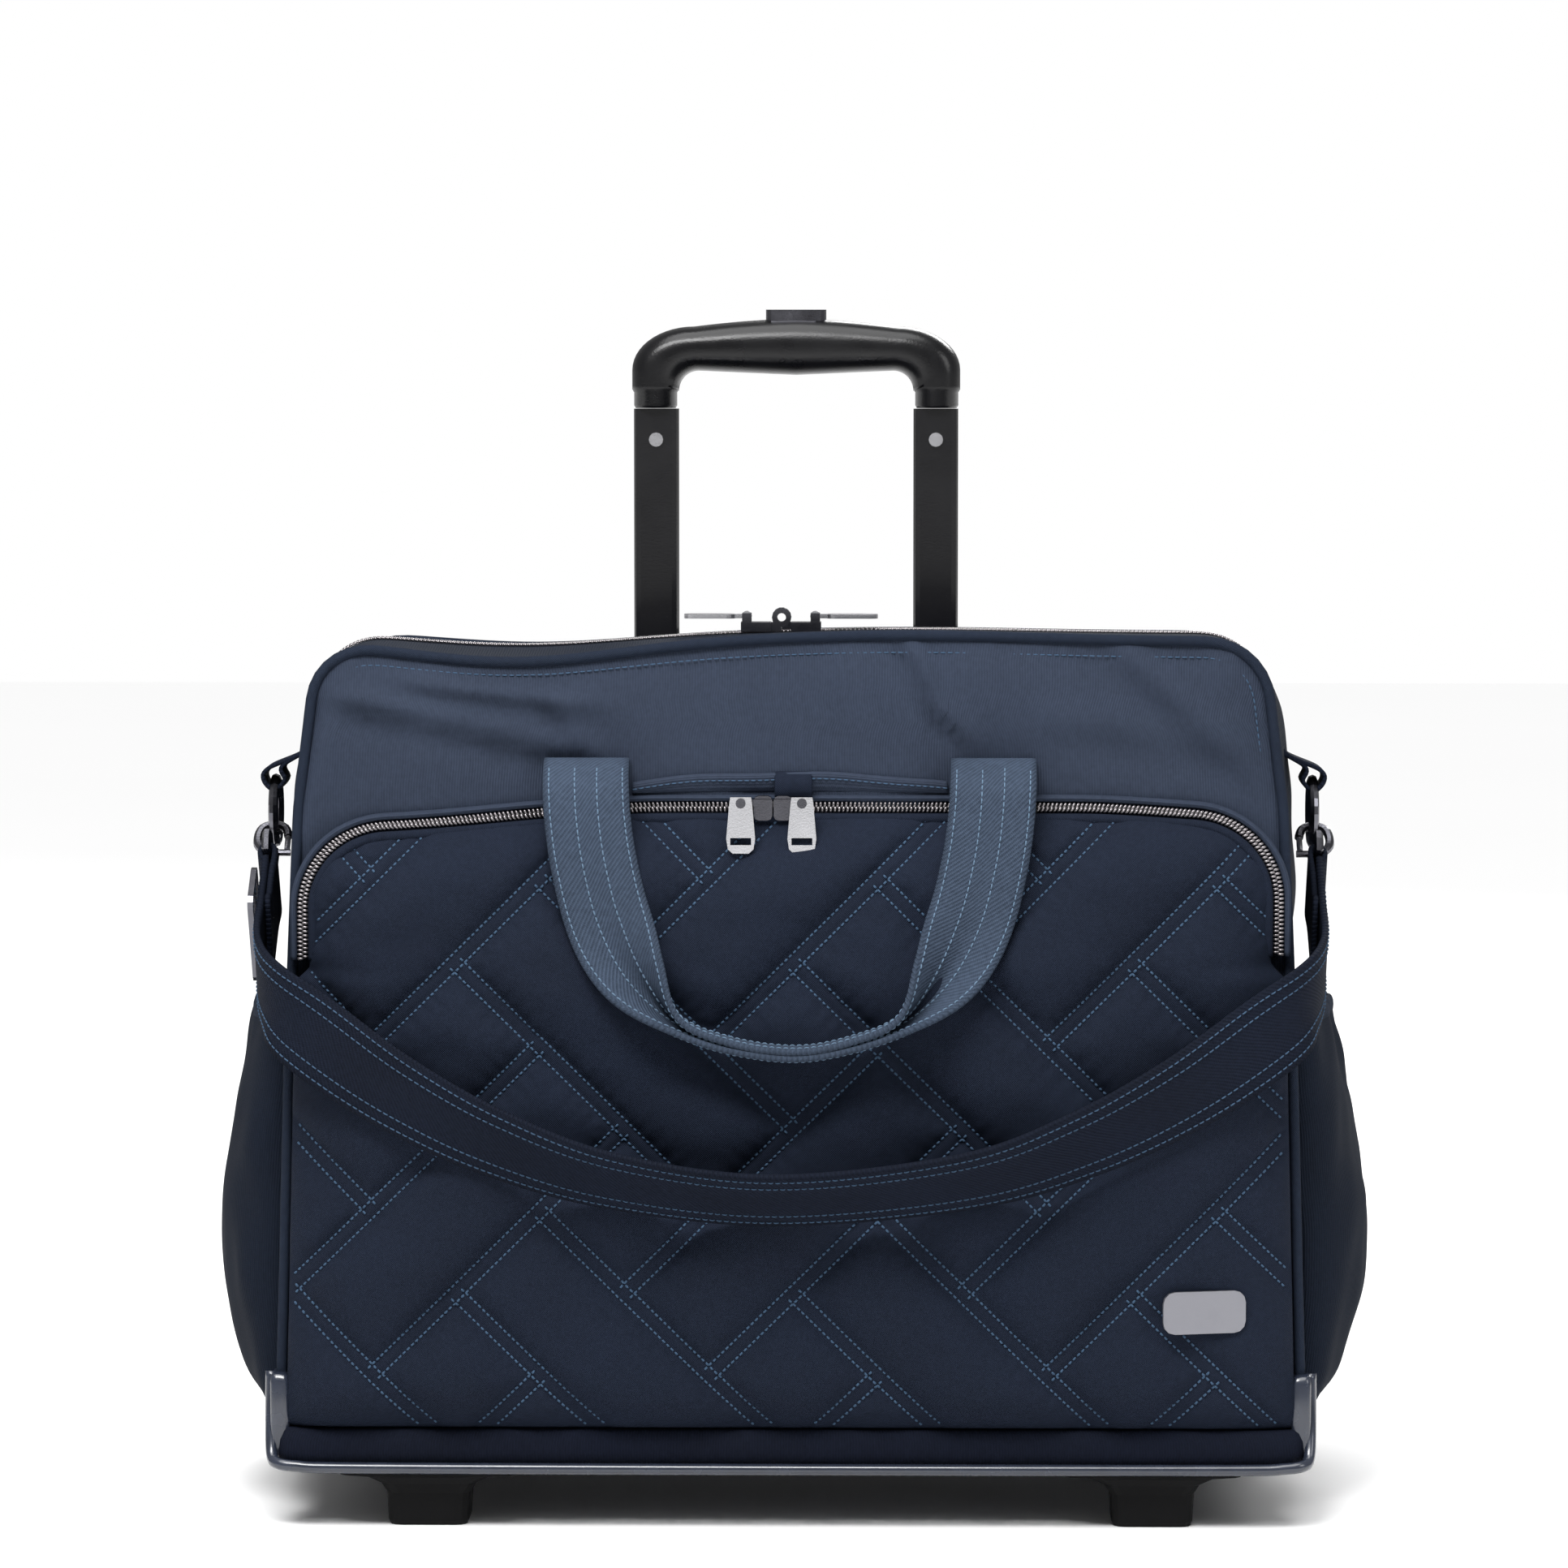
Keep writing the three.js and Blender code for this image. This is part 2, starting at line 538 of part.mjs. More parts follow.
// Shoulder strap, its rings, snap hooks and adjuster.
function buildStrap() {
  const tab = cut(
    join(
      box(RING_X - 6, RING_X + 6, -6, 6, RING_Z + 8, RING_Z + 19.6),
      box(halfWidth(RING_Z) + 0.4, RING_X - 2, -6, 6, RING_Z + 17.6, RING_Z + 34),
    ),
    box(RING_X - 3.6, RING_X + 3.6, -8, 8, RING_Z + 10, RING_Z + 17.6),
  );
  addPair('strap_tab', tab, WEBBING);

  const ring = new THREE.TorusGeometry(RING_R, WIRE_R, 8, 28);
  ring.rotateY(Math.PI / 2);
  ring.translate(RING_X, 0, RING_Z);
  ring.deleteAttribute('uv');
  ring.deleteAttribute('normal');
  const welded = mergeVertices(ring, 1e-4);
  welded.computeVertexNormals();
  addPair('strap_ring', welded, GUNMETAL);

  // u points away from the bag, v away from the ring's centre, t across.
  const place = (u, v, t) => [
    RING_X + u,
    -Math.sin(HOOK_ANGLE) * v + Math.cos(HOOK_ANGLE) * t,
    RING_Z - Math.cos(HOOK_ANGLE) * v - Math.sin(HOOK_ANGLE) * t,
  ];
  const jay = [[0, 29], [3.4, 26.5], [6.3, 22.5], [6.5, 16], [4.6, 11.4], [0, 9.5], [-4.6, 11.4], [-6.5, 16],
    [-6.5, 17]].map(([u, v]) => place(u, v, 0));
  const frame = [];
  roundedRect(0, 39.5, 42, 11, 3, 2).forEach(([t, v]) => frame.push(place(0, v, t)));
  const hook = join(
    tube(jay, 2, 8, 20),
    tube([place(0, 26.5, 0), place(0, 35, 0)], 3.4, 10, 1),
    tube([place(-8.2, 27.4, 0), place(0, 27.4, 0)], 1.5, 8, 1),
    tube(frame, 2, 6, 24, true),
  );
  addPair('strap_hook', hook, GUNMETAL);
  addPair('hook_gate', tube([place(-6.5, 25.4, 0), place(-6.5, 17.6, 0)], 1.3, 8, 1), METAL);

  const end = place(0, 49.4, 0);
  const stations = [
    { c: [-RING_X, end[1], end[2]], w: [0, -0.6, 0.8], width: WEB_WIDTH },
    { c: [-RING_X, -62, 252], w: [0, -0.58, 0.81], width: WEB_WIDTH },
    { c: [-226, -90, 236], w: [0, -0.42, 0.9], width: WEB_WIDTH },
    { c: [-217, -113, 225], w: [0.1, -0.25, 0.95], width: WEB_WIDTH },
    { c: [-197, -124, 210], w: [0.5, -0.2, 0.8], width: WEB_WIDTH },
    { c: [-165, -129.5, 189], w: [0.5, -0.38, 0.76], width: WEB_WIDTH },
    { c: [-125, -132.5, 169], w: [0.32, -0.55, 0.76], width: WEB_WIDTH },
    { c: [-75, -134.5, 153], w: [0.13, -0.7, 0.7], width: WEB_WIDTH },
  ];
  const mid = { c: [-6, -135.5, 145], w: [0, -0.755, 0.656], width: WEB_WIDTH };
  const other = stations.map((s) => ({
    ...s,
    c: [-s.c[0], s.c[1], s.c[2]],
    w: [-s.w[0], s.w[1], s.w[2]],
  })).reverse();
  add('shoulder_strap', band([...stations, mid, ...other], WEB_THICK, 64), WEBBING);

  // Adjuster: a flat frame with a middle bar, lying on the strap's outer face.
  const along = new THREE.Vector3(0, -0.83, -0.56).normalize();
  const up = new THREE.Vector3(0, along.z, -along.y);
  const basis = new THREE.Matrix4().makeBasis(along, up, new THREE.Vector3().crossVectors(along, up));
  basis.setPosition(-RING_X - 3.6, -60, 253.6);
  const slide = cut(
    prismZ(roundedRect(0, 0, 26, 46, 4, 2), -1.2, 1.2),
    box(-9.5, -2, -19.6, 19.6, -3, 3),
    box(2, 9.5, -19.6, 19.6, -3, 3),
  );
  slide.applyMatrix4(basis);
  add('strap_slide', slide, GUNMETAL);
}

// Telescopic handle.
function stageTube(stage) {
  const outer = roundedRect(TUBE_X, TUBE_Y, stage.w, stage.d, 3, 2);
  const inner = roundedRect(TUBE_X, TUBE_Y, stage.w - 2 * TUBE_WALL, stage.d - 2 * TUBE_WALL, 2, 2);
  return cut(prismZ(outer, stage.z0, stage.z1), prismZ(inner, stage.z0 - 1, stage.z1 + 1));
}

function buildTrolley() {
  addPair('outer_tube', stageTube(OUTER_TUBE), TUBE);
  addPair('middle_tube', stageTube(MIDDLE_TUBE), TUBE);
  addPair('upper_tube', stageTube(UPPER_TUBE), TUBE);

  const inX = GRIP.half - GRIP.leg;
  const under = GRIP.z1 - GRIP.bar;
  const quarter = (cx, cz, rx, rz, steps) => {
    const points = [];
    for (let i = 0; i <= steps; i += 1) {
      const a = i / steps * Math.PI / 2;
      points.push([cx + rx * Math.cos(a), cz + rz * Math.sin(a)]);
    }
    return points;
  };
  const c = GRIP.corner;
  const outside = [[GRIP.half, GRIP.z0], ...quarter(GRIP.half - c, GRIP.z1 - 23, c, 19.5, 6), [14, GRIP.z1]];
  const inside = [[inX, GRIP.z0], ...quarter(inX - 9, under - 9, 9, 9, 3), [14, under - 1.9]];
  const mirror = (points) => points.map(([x, z]) => [-x, z]);
  const line = [...outside, ...mirror(outside).reverse(), ...mirror(inside), ...[...inside].reverse()];
  const shape = new THREE.Shape();
  line.forEach(([x, z], i) => (i ? shape.lineTo(x, z) : shape.moveTo(x, z)));
  const bevel = 4;
  const solid = new THREE.ExtrudeGeometry(shape, {
    depth: GRIP.thick - 2 * bevel, bevelEnabled: true, bevelThickness: bevel, bevelSize: bevel,
    bevelOffset: -bevel, bevelSegments: 2, steps: 1,
  });
  solid.rotateX(Math.PI / 2);
  solid.translate(0, TUBE_Y + (GRIP.thick - 2 * bevel) / 2, 0);
  const well = prismZ(roundedRect(0, TUBE_Y, BUTTON.w + 1, BUTTON.d + 1, 5, 3), BUTTON.z0 - 5, 530);
  add('trolley_grip', cut(solid, well), PLASTIC);
  add('trolley_button', prismZ(roundedRect(0, TUBE_Y, BUTTON.w, BUTTON.d, 4.8, 3), BUTTON.z0, BUTTON.z1), METAL);

  const face = TUBE_Y - UPPER_TUBE.d / 2;
  addPair('grip_fastener', prismY(circle(TUBE_X, RIVET_Z, 3.2, 12), face - 1.3, face - 0.05), METAL);

  const hole = (sx) => prismZ(roundedRect(sx * TUBE_X, TUBE_Y, 24, 18, 3, 2), 340, 390);
  const bezel = prismZ(roundedRect(0, TUBE_Y, BEZEL.w, BEZEL.d, 6, 3), OUTER_TUBE.z1 + GAP, BEZEL.z1);
  add('tube_bezel', cut(bezel, hole(1), hole(-1)), PLASTIC);
  add('tube_bracket', box(-86, 86, 66, 90, BASE_TOP + 0.6, OUTER_TUBE.z0 - GAP), PLASTIC);
}

// Wheels at the back, fixed feet at the front.
function buildRunningGear() {
  const profile = [[55, 25.4], [55, 58], [60, 63], [98, 64], [102, 60], [102, 34], [96, 16], [90, 11],
    [80, 11], [70, 17], [62, 25.4]];
  const well = prismX(circle(WHEEL_Y, WHEEL_R, WHEEL_R + 2.6, 28), WHEEL_X - 12, WHEEL_X + 12);
  const bore = prismX(circle(WHEEL_Y, WHEEL_R, AXLE_R + RUN, 16), WHEEL_X - 40, WHEEL_X + 40);
  const housing = cut(prismX(profile, WHEEL_X - 23, WHEEL_X + 23), well, bore);
  addPair('wheel_housing', housing, PLASTIC);

  const lathe = (profile2d, sides) => {
    const g = new THREE.LatheGeometry(profile2d.map(([r, x]) => new THREE.Vector2(r, x)), sides);
    g.deleteAttribute('uv');
    g.deleteAttribute('normal');
    const welded = mergeVertices(g, 1e-4);
    welded.rotateZ(-Math.PI / 2);
    welded.translate(WHEEL_X, WHEEL_Y, WHEEL_R);
    welded.computeVertexNormals();
    return fromManifold(toManifold(welded));
  };
  const r = WHEEL_R;
  const h = WHEEL_HALF;
  const hub = HUB_R + 0.2;
  addPair('wheel_tyre', lathe([[hub, -h + 1], [r - 3, -h], [r - 0.6, -h + 3], [r, 0], [r - 0.6, h - 3],
    [r - 3, h], [hub, h - 1], [hub, -h + 1]], 32), RUBBER);
  const eye = AXLE_R + RUN;
  addPair('wheel_hub', lathe([[eye, -h + 0.5], [7, -h + 0.5], [9, -h + 3], [HUB_R, -h + 1.6], [HUB_R, h - 1.6],
    [9, h - 3], [7, h - 0.5], [eye, h - 0.5], [eye, -h + 0.5]], 32), PLASTIC);
  addPair('wheel_axle', prismX(circle(WHEEL_Y, WHEEL_R, AXLE_R, 16), WHEEL_X - 22, WHEEL_X + 22), METAL);

  const foot = [[0, 33, 26, 5], [2, 34.5, 29, 6], [14, 36, 30, 6], [18, 41, 31, 6], [21, 54, 33, 6], [22, 76, 36, 6],
    [FLOOR_TO_BASE - GAP, 76, 36, 6]];
  const rings = foot.map(([z, w, d, rad]) => ringZ(roundedRect(FOOT_X, FOOT_Y, w, d, rad, 3), z));
  addPair('front_foot', loft(rings), RUBBER);
}

buildShell();
buildTrim();
buildPockets();
buildHandles();
buildSliders();
buildStrap();
buildTrolley();
buildRunningGear();

group.children.forEach((mesh) => mesh.geometry.translate(0, SHIFT_Y, 0));

export default group;
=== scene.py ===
"""Looks of the softside upright suitcase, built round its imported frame.

Shapes are worked out in millimetres in the frame's own axes: X across the front, Y towards the back,
Z up. They are turned into metres when a mesh is made.
"""
import math

import bmesh
import bpy
import numpy as np
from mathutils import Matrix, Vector


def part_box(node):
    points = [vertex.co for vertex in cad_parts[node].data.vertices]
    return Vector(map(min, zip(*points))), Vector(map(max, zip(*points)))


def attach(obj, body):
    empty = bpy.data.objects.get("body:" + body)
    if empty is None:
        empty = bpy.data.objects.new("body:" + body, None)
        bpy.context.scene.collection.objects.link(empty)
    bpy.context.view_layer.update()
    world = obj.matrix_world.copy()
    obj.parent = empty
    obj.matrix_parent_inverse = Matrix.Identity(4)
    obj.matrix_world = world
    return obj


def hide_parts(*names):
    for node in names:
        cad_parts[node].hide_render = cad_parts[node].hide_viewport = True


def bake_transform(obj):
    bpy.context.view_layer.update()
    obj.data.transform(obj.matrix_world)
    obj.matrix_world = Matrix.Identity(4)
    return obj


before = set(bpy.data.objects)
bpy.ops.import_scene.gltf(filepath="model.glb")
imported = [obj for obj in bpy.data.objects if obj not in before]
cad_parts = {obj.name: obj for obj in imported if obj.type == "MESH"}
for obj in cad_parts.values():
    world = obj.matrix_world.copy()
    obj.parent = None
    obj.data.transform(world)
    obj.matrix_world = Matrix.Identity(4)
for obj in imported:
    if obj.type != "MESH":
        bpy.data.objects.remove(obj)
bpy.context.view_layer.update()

MM = 0.001
SCENE = bpy.context.scene


def box_mm(node):
    """Lowest and highest corner of a CAD node, in millimetres."""
    lo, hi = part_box(node)
    return np.array(lo) * 1000, np.array(hi) * 1000


# ---------------------------------------------------------------- driving sizes, from the frame
PANEL_LO, PANEL_HI = box_mm("front_panel")
BACK_HI = box_mm("back_panel")[1]
STRIP_HI = box_mm("top_front_gusset")[1]
FLAP_LO, FLAP_HI = box_mm("top_flap")
CHAIN_LO, CHAIN_HI = box_mm("pocket_zip_chain")
PAD_LO, PAD_HI = box_mm("front_pocket_pad")
BASE_LO, BASE_HI = box_mm("base_panel")

SHELL_LOW = PANEL_LO[2]
SHELL_TOP = PANEL_HI[2]
LOW_HALF = PANEL_HI[0]
CORNER_HALF = STRIP_HI[0]
CORNER_R = 28.0
SIDE_TOP = SHELL_TOP - CORNER_R
SIDE_STEPS = ((SHELL_LOW, LOW_HALF), (200.0, 214.0), (306.0, 209.5), (SIDE_TOP, CORNER_HALF))
TOP_DROP = SHELL_TOP - BACK_HI[2]
FRONT_Y = PANEL_LO[1]
BACK_Y = BACK_HI[1]
STRIP_BACK = STRIP_HI[1]
FLAP_FRONT = FLAP_LO[1]
FLAP_BACK = FLAP_HI[1]
ZIP_Y = (STRIP_BACK + FLAP_FRONT) / 2
PAD_BACK = CHAIN_HI[1]
WEB = 38.0
WEB_THICK = 2.6
PANEL_THICK = 1.6
GUSSET_THICK = 1.8
PANEL_BULGE = 7.0
SIDES = (("left", -1), ("right", 1))


# ---------------------------------------------------------------- meshes
def make_object(name, verts, faces, uv):
    """A mesh object from points in millimetres, with one UV in metres for each point."""
    mesh = bpy.data.meshes.new(name)
    mesh.from_pydata((np.asarray(verts) * MM).tolist(), [], [list(map(int, f)) for f in faces])
    layer = mesh.uv_layers.new(name="weave")
    loops = np.zeros(len(mesh.loops), np.int32)
    mesh.loops.foreach_get("vertex_index", loops)
    layer.data.foreach_set("uv", (np.asarray(uv)[loops] * MM).astype(np.float32).ravel())
    mesh.polygons.foreach_set("use_smooth", [True] * len(mesh.polygons))
    mesh.validate()
    mesh.update()
    obj = bpy.data.objects.new(name, mesh)
    SCENE.collection.objects.link(obj)
    return obj


def lengths(points):
    """Distance along a line of points, starting at 0."""
    steps = np.linalg.norm(np.diff(points, axis=0), axis=1)
    return np.concatenate([[0], np.cumsum(steps)])


def grid_uv(points):
    """UV in millimetres over a grid of points: columns give U, rows give V."""
    rows, cols = points.shape[:2]
    middle = lengths(points[:, cols // 2])
    uv = np.zeros((rows, cols, 2))
    for r in range(rows):
        run = lengths(points[r])
        uv[r, :, 0] = run - run[-1] / 2
        uv[r, :, 1] = middle[r]
    return uv.reshape(-1, 2)


def grid_faces(rows, cols, wrap=False, keep=None):
    """Quads over a grid of points. With wrap, the last column joins the first."""
    index = np.arange(rows * cols).reshape(rows, cols)
    if wrap:
        index = np.hstack([index, index[:, :1]])
    quads = np.stack([index[:-1, :-1], index[:-1, 1:], index[1:, 1:], index[1:, :-1]], -1)
    if keep is not None:
        quads = quads[keep]
    return quads.reshape(-1, 4)


def surface(name, points, keep=None, flip=False):
    """An open sheet over a grid of points."""
    rows, cols = points.shape[:2]
    faces = grid_faces(rows, cols, keep=keep)
    if flip:
        faces = faces[:, ::-1]
    return make_object(name, points.reshape(-1, 3), faces, grid_uv(points))


def closed_tube(name, rings, uv=None):
    """A skin through closed rings, with both ends capped."""
    count, sides = rings.shape[:2]
    faces = grid_faces(count, sides, wrap=True).tolist()
    faces.append(list(range(sides))[::-1])
    faces.append([(count - 1) * sides + i for i in range(sides)])
    if uv is None:
        run = lengths(rings.mean(axis=1))
        round_ring = lengths(np.vstack([rings[0], rings[0][:1]]))[:-1]
        uv = np.stack(np.meshgrid(round_ring, run), -1).reshape(-1, 2)
    obj = make_object(name, rings.reshape(-1, 3), faces, uv)
    work = bmesh.new()
    work.from_mesh(obj.data)
    bmesh.ops.recalc_face_normals(work, faces=work.faces)
    work.to_mesh(obj.data)
    work.free()
    return obj


def smooth_line(points, count):
    """A Catmull-Rom line through points with any number of columns, evenly spaced in its first three."""
    p = np.asarray(points, float)
    p = np.vstack([2 * p[0] - p[1], p, 2 * p[-1] - p[-2]])
    dense = []
    for k in range(1, len(p) - 2):
        a, b, c, d = p[k - 1:k + 3]
        for t in np.linspace(0, 1, 40, endpoint=False):
            dense.append(0.5 * (2 * b + (c - a) * t + (2 * a - 5 * b + 4 * c - d) * t ** 2
                                + (3 * b - a - 3 * c + d) * t ** 3))
    dense.append(p[-2])
    return resample(np.array(dense), count)


def sample(places, run, values):
    """Columns of values at places along a line, where run is the distance of each of its points."""
    return np.stack([np.interp(places, run, values[:, k]) for k in range(values.shape[1])], -1)


def resample(line, count):
    """Evenly spaced points on a line."""
    run = lengths(line[:, :3])
    return sample(np.linspace(0, run[-1], count), run, line)


def at_depth(points, y):
    """Points in X and Z, placed at one Y."""
    return np.stack([points[:, 0], np.full(len(points), y), points[:, 1]], -1)


def forward(count):
    """Normals that all point to the front."""
    return np.tile([0.0, -1, 0], (count, 1))


def unit(v):
    """Vectors brought to length 1."""
    return v / np.maximum(np.linalg.norm(v, axis=-1, keepdims=True), 1e-9)


def round_tube(name, line, radius, sides):
    """A round tube along a line of points."""
    line = np.asarray(line, float)
    along = unit(np.gradient(line, axis=0))
    up = np.array([0.0, 0, 1]) if abs(along[0][2]) < 0.9 else np.array([0.0, 1, 0])
    angles = np.linspace(0, 2 * math.pi, sides, endpoint=False)
    rings = []
    for p, t in zip(line, along):
        side = unit(np.cross(t, up))
        up = unit(np.cross(side, t))
        rings.append(p + radius * (np.cos(angles)[:, None] * side + np.sin(angles)[:, None] * up))
    return closed_tube(name, np.array(rings))


def hill(x, centre, width):
    """A bell curve, 1 at its centre."""
    return np.exp(-((x - centre) / width) ** 2)


def smoothstep(x, low, high):
    """Eases from 0 at low to 1 at high."""
    t = np.clip((x - low) / (high - low), 0, 1)
    return t * t * (3 - 2 * t)


class Waves:
    """Smooth seeded noise: a sum of plane waves with random directions."""

    def __init__(self, seed, size, count=14):
        draw = np.random.default_rng(seed)
        self.k = draw.normal(size=(count, 3)) * 2 * math.pi / size
        self.phase = draw.uniform(0, 2 * math.pi, count)

    def __call__(self, points):
        p = np.asarray(points, float)
        return np.sin(p @ self.k.T + self.phase).sum(-1) / math.sqrt(len(self.phase) / 2) / 1.5


def threads(name, marks, length, radius, sides=5, arch=0.45):
    """Small rounded stitches or zip teeth: marks are rows of point, direction and outward normal."""
    marks = np.asarray(marks, float).reshape(-1, 9)
    point = marks[:, 0:3]
    along = unit(marks[:, 3:6])
    out = unit(marks[:, 6:9])
    side = unit(np.cross(along, out))
    places = [-0.5, -0.36, 0, 0.36, 0.5]
    sizes = [0.45, 0.95, 1, 0.95, 0.45]
    angles = -np.linspace(0, 2 * math.pi, sides, endpoint=False)
    rings = []
    for place, size in zip(places, sizes):
        lift = radius * arch * (1 - (2 * place) ** 2 * 1.9)
        centre = point + along * (place * length) + out * lift
        round_it = (np.cos(angles)[None, :, None] * side[:, None, :]
                    + np.sin(angles)[None, :, None] * out[:, None, :])
        rings.append(centre[:, None, :] + radius * size * round_it)
    rings = np.stack(rings, 1)
    block = len(places) * sides
    quads = grid_faces(len(places), sides, wrap=True)
    starts = np.arange(len(marks)) * block
    faces = (quads[None] + starts[:, None, None]).reshape(-1, 4).tolist()
    low = list(range(sides))[::-1]
    high = [(len(places) - 1) * sides + i for i in range(sides)]
    for start in starts:
        faces.append([start + i for i in low])
        faces.append([start + i for i in high])
    return make_object(name, rings.reshape(-1, 3), faces, np.zeros((len(marks) * block, 2)))


def stitch_marks(line, normals, pitch, margin=0.0):
    """Evenly spaced marks along a line of points with a normal at each."""
    run = lengths(line)
    places = np.arange(margin + pitch / 2, run[-1] - margin, pitch)
    along = np.gradient(line, axis=0)
    return np.concatenate([sample(places, run, a) for a in (line, along, normals)], 1)


def lined(obj, material, thick):
    """Gives a sheet its thickness inwards, with a pale lining on the inner face."""
    obj.data.materials.append(material)
    obj.data.materials.append(LINING)
    mod = obj.modifiers.new("thickness", "SOLIDIFY")
    mod.thickness = thick * MM
    mod.offset = -1.0
    mod.use_even_offset = False
    mod.material_offset = 1


def subdivide(obj):
    mod = obj.modifiers.new("smooth", "SUBSURF")
    mod.levels = 1
    mod.render_levels = 1


def bevel(obj, width):
    mod = obj.modifiers.new("edges", "BEVEL")
    mod.width = width * MM
    mod.segments = 3
    mod.limit_method = "ANGLE"
    mod.angle_limit = math.radians(30)
    mod.use_clamp_overlap = True
    mod.harden_normals = False


def settle(obj):
    """Applies the modifiers, so that the mesh is final."""
    bpy.context.view_layer.update()
    graph = bpy.context.evaluated_depsgraph_get()
    mesh = bpy.data.meshes.new_from_object(obj.evaluated_get(graph))
    obj.modifiers.clear()
    obj.data = mesh


def cut_away(obj, lo, hi):
    """Cuts a box out of a mesh; its corners are in millimetres."""
    lo, hi = np.array(lo, float), np.array(hi, float)
    bpy.ops.mesh.primitive_cube_add(size=1)
    cutter = bpy.context.object
    cutter.location = Vector((lo + hi) / 2) * MM
    cutter.scale = Vector(hi - lo) * MM
    mod = obj.modifiers.new("cut", "BOOLEAN")
    mod.operation = "DIFFERENCE"
    mod.solver = "EXACT"
    mod.object = cutter
    settle(obj)
    bpy.data.objects.remove(cutter)


def piece(obj, material, body="bag", nodes=()):
    """Gives a piece its material, its body and the CAD nodes that it stands for."""
    if obj.data.materials:
        obj.data.materials[0] = material
    else:
        obj.data.materials.append(material)
    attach(obj, body)
    if nodes:
        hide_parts(*nodes)
    return obj


# ---------------------------------------------------------------- materials
def linear(colour):
    """An sRGB colour in 0 to 255, as linear values."""
    c = np.array(colour) / 255
    c = np.where(c <= 0.04045, c / 12.92, ((c + 0.055) / 1.055) ** 2.4)
    return (*c.tolist(), 1.0)


class Shader:
    """Builds one material's nodes."""

    def __init__(self, name, sockets):
        self.material = bpy.data.materials.new(name)
        self.material.use_nodes = True
        self.tree = self.material.node_tree
        self.bsdf = self.tree.nodes["Principled BSDF"]
        for key, value in sockets.items():
            self.bsdf.inputs[key].default_value = value

    def put(self, socket, value):
        if isinstance(value, bpy.types.NodeSocket):
            self.tree.links.new(value, socket)
        else:
            socket.default_value = value

    def coords(self, kind):
        return self.tree.nodes.new("ShaderNodeTexCoord").outputs[kind]

    def axes(self, vector):
        node = self.tree.nodes.new("ShaderNodeSeparateXYZ")
        self.put(node.inputs[0], vector)
        return node.outputs

    def math(self, operation, a, b=0.0):
        node = self.tree.nodes.new("ShaderNodeMath")
        node.operation = operation
        self.put(node.inputs[0], a)
        self.put(node.inputs[1], b)
        return node.outputs[0]

    def sine(self, value, pitch):
        """A wave from -1 to 1 with this pitch in millimetres."""
        return self.math("SINE", self.math("MULTIPLY", value, 2 * math.pi / (pitch * MM)))

    def noise(self, vector, size, detail=3.0, rough=0.55):
        """Noise from 0 to 1 with features of this size in millimetres."""
        node = self.tree.nodes.new("ShaderNodeTexNoise")
        self.put(node.inputs["Vector"], vector)
        node.inputs["Scale"].default_value = 1 / (size * MM)
        node.inputs["Detail"].default_value = detail
        node.inputs["Roughness"].default_value = rough
        return node.outputs[0]

    def span(self, value, low, high, to_low=0.0, to_high=1.0):
        node = self.tree.nodes.new("ShaderNodeMapRange")
        self.put(node.inputs[0], value)
        for k, v in enumerate((low, high, to_low, to_high), 1):
            node.inputs[k].default_value = v
        return node.outputs[0]

    def mix(self, factor, a, b):
        node = self.tree.nodes.new("ShaderNodeMix")
        node.data_type = "RGBA"
        self.put(node.inputs[0], factor)
        self.put(node.inputs[6], a)
        self.put(node.inputs[7], b)
        return node.outputs[2]

    def finish(self, colour=None, rough=None, height=None, strength=0.3, distance=0.4):
        if colour is not None:
            self.put(self.bsdf.inputs["Base Color"], colour)
        if rough is not None:
            self.put(self.bsdf.inputs["Roughness"], rough)
        if height is not None:
            node = self.tree.nodes.new("ShaderNodeBump")
            node.inputs["Strength"].default_value = strength
            node.inputs["Distance"].default_value = distance * MM
            self.put(node.inputs["Height"], height)
            self.put(self.bsdf.inputs["Normal"], node.outputs[0])
        return self.material


def shade(colour, factor):
    """A colour made lighter or darker."""
    return tuple(min(c * factor, 1.0) for c in colour[:3]) + (1.0,)


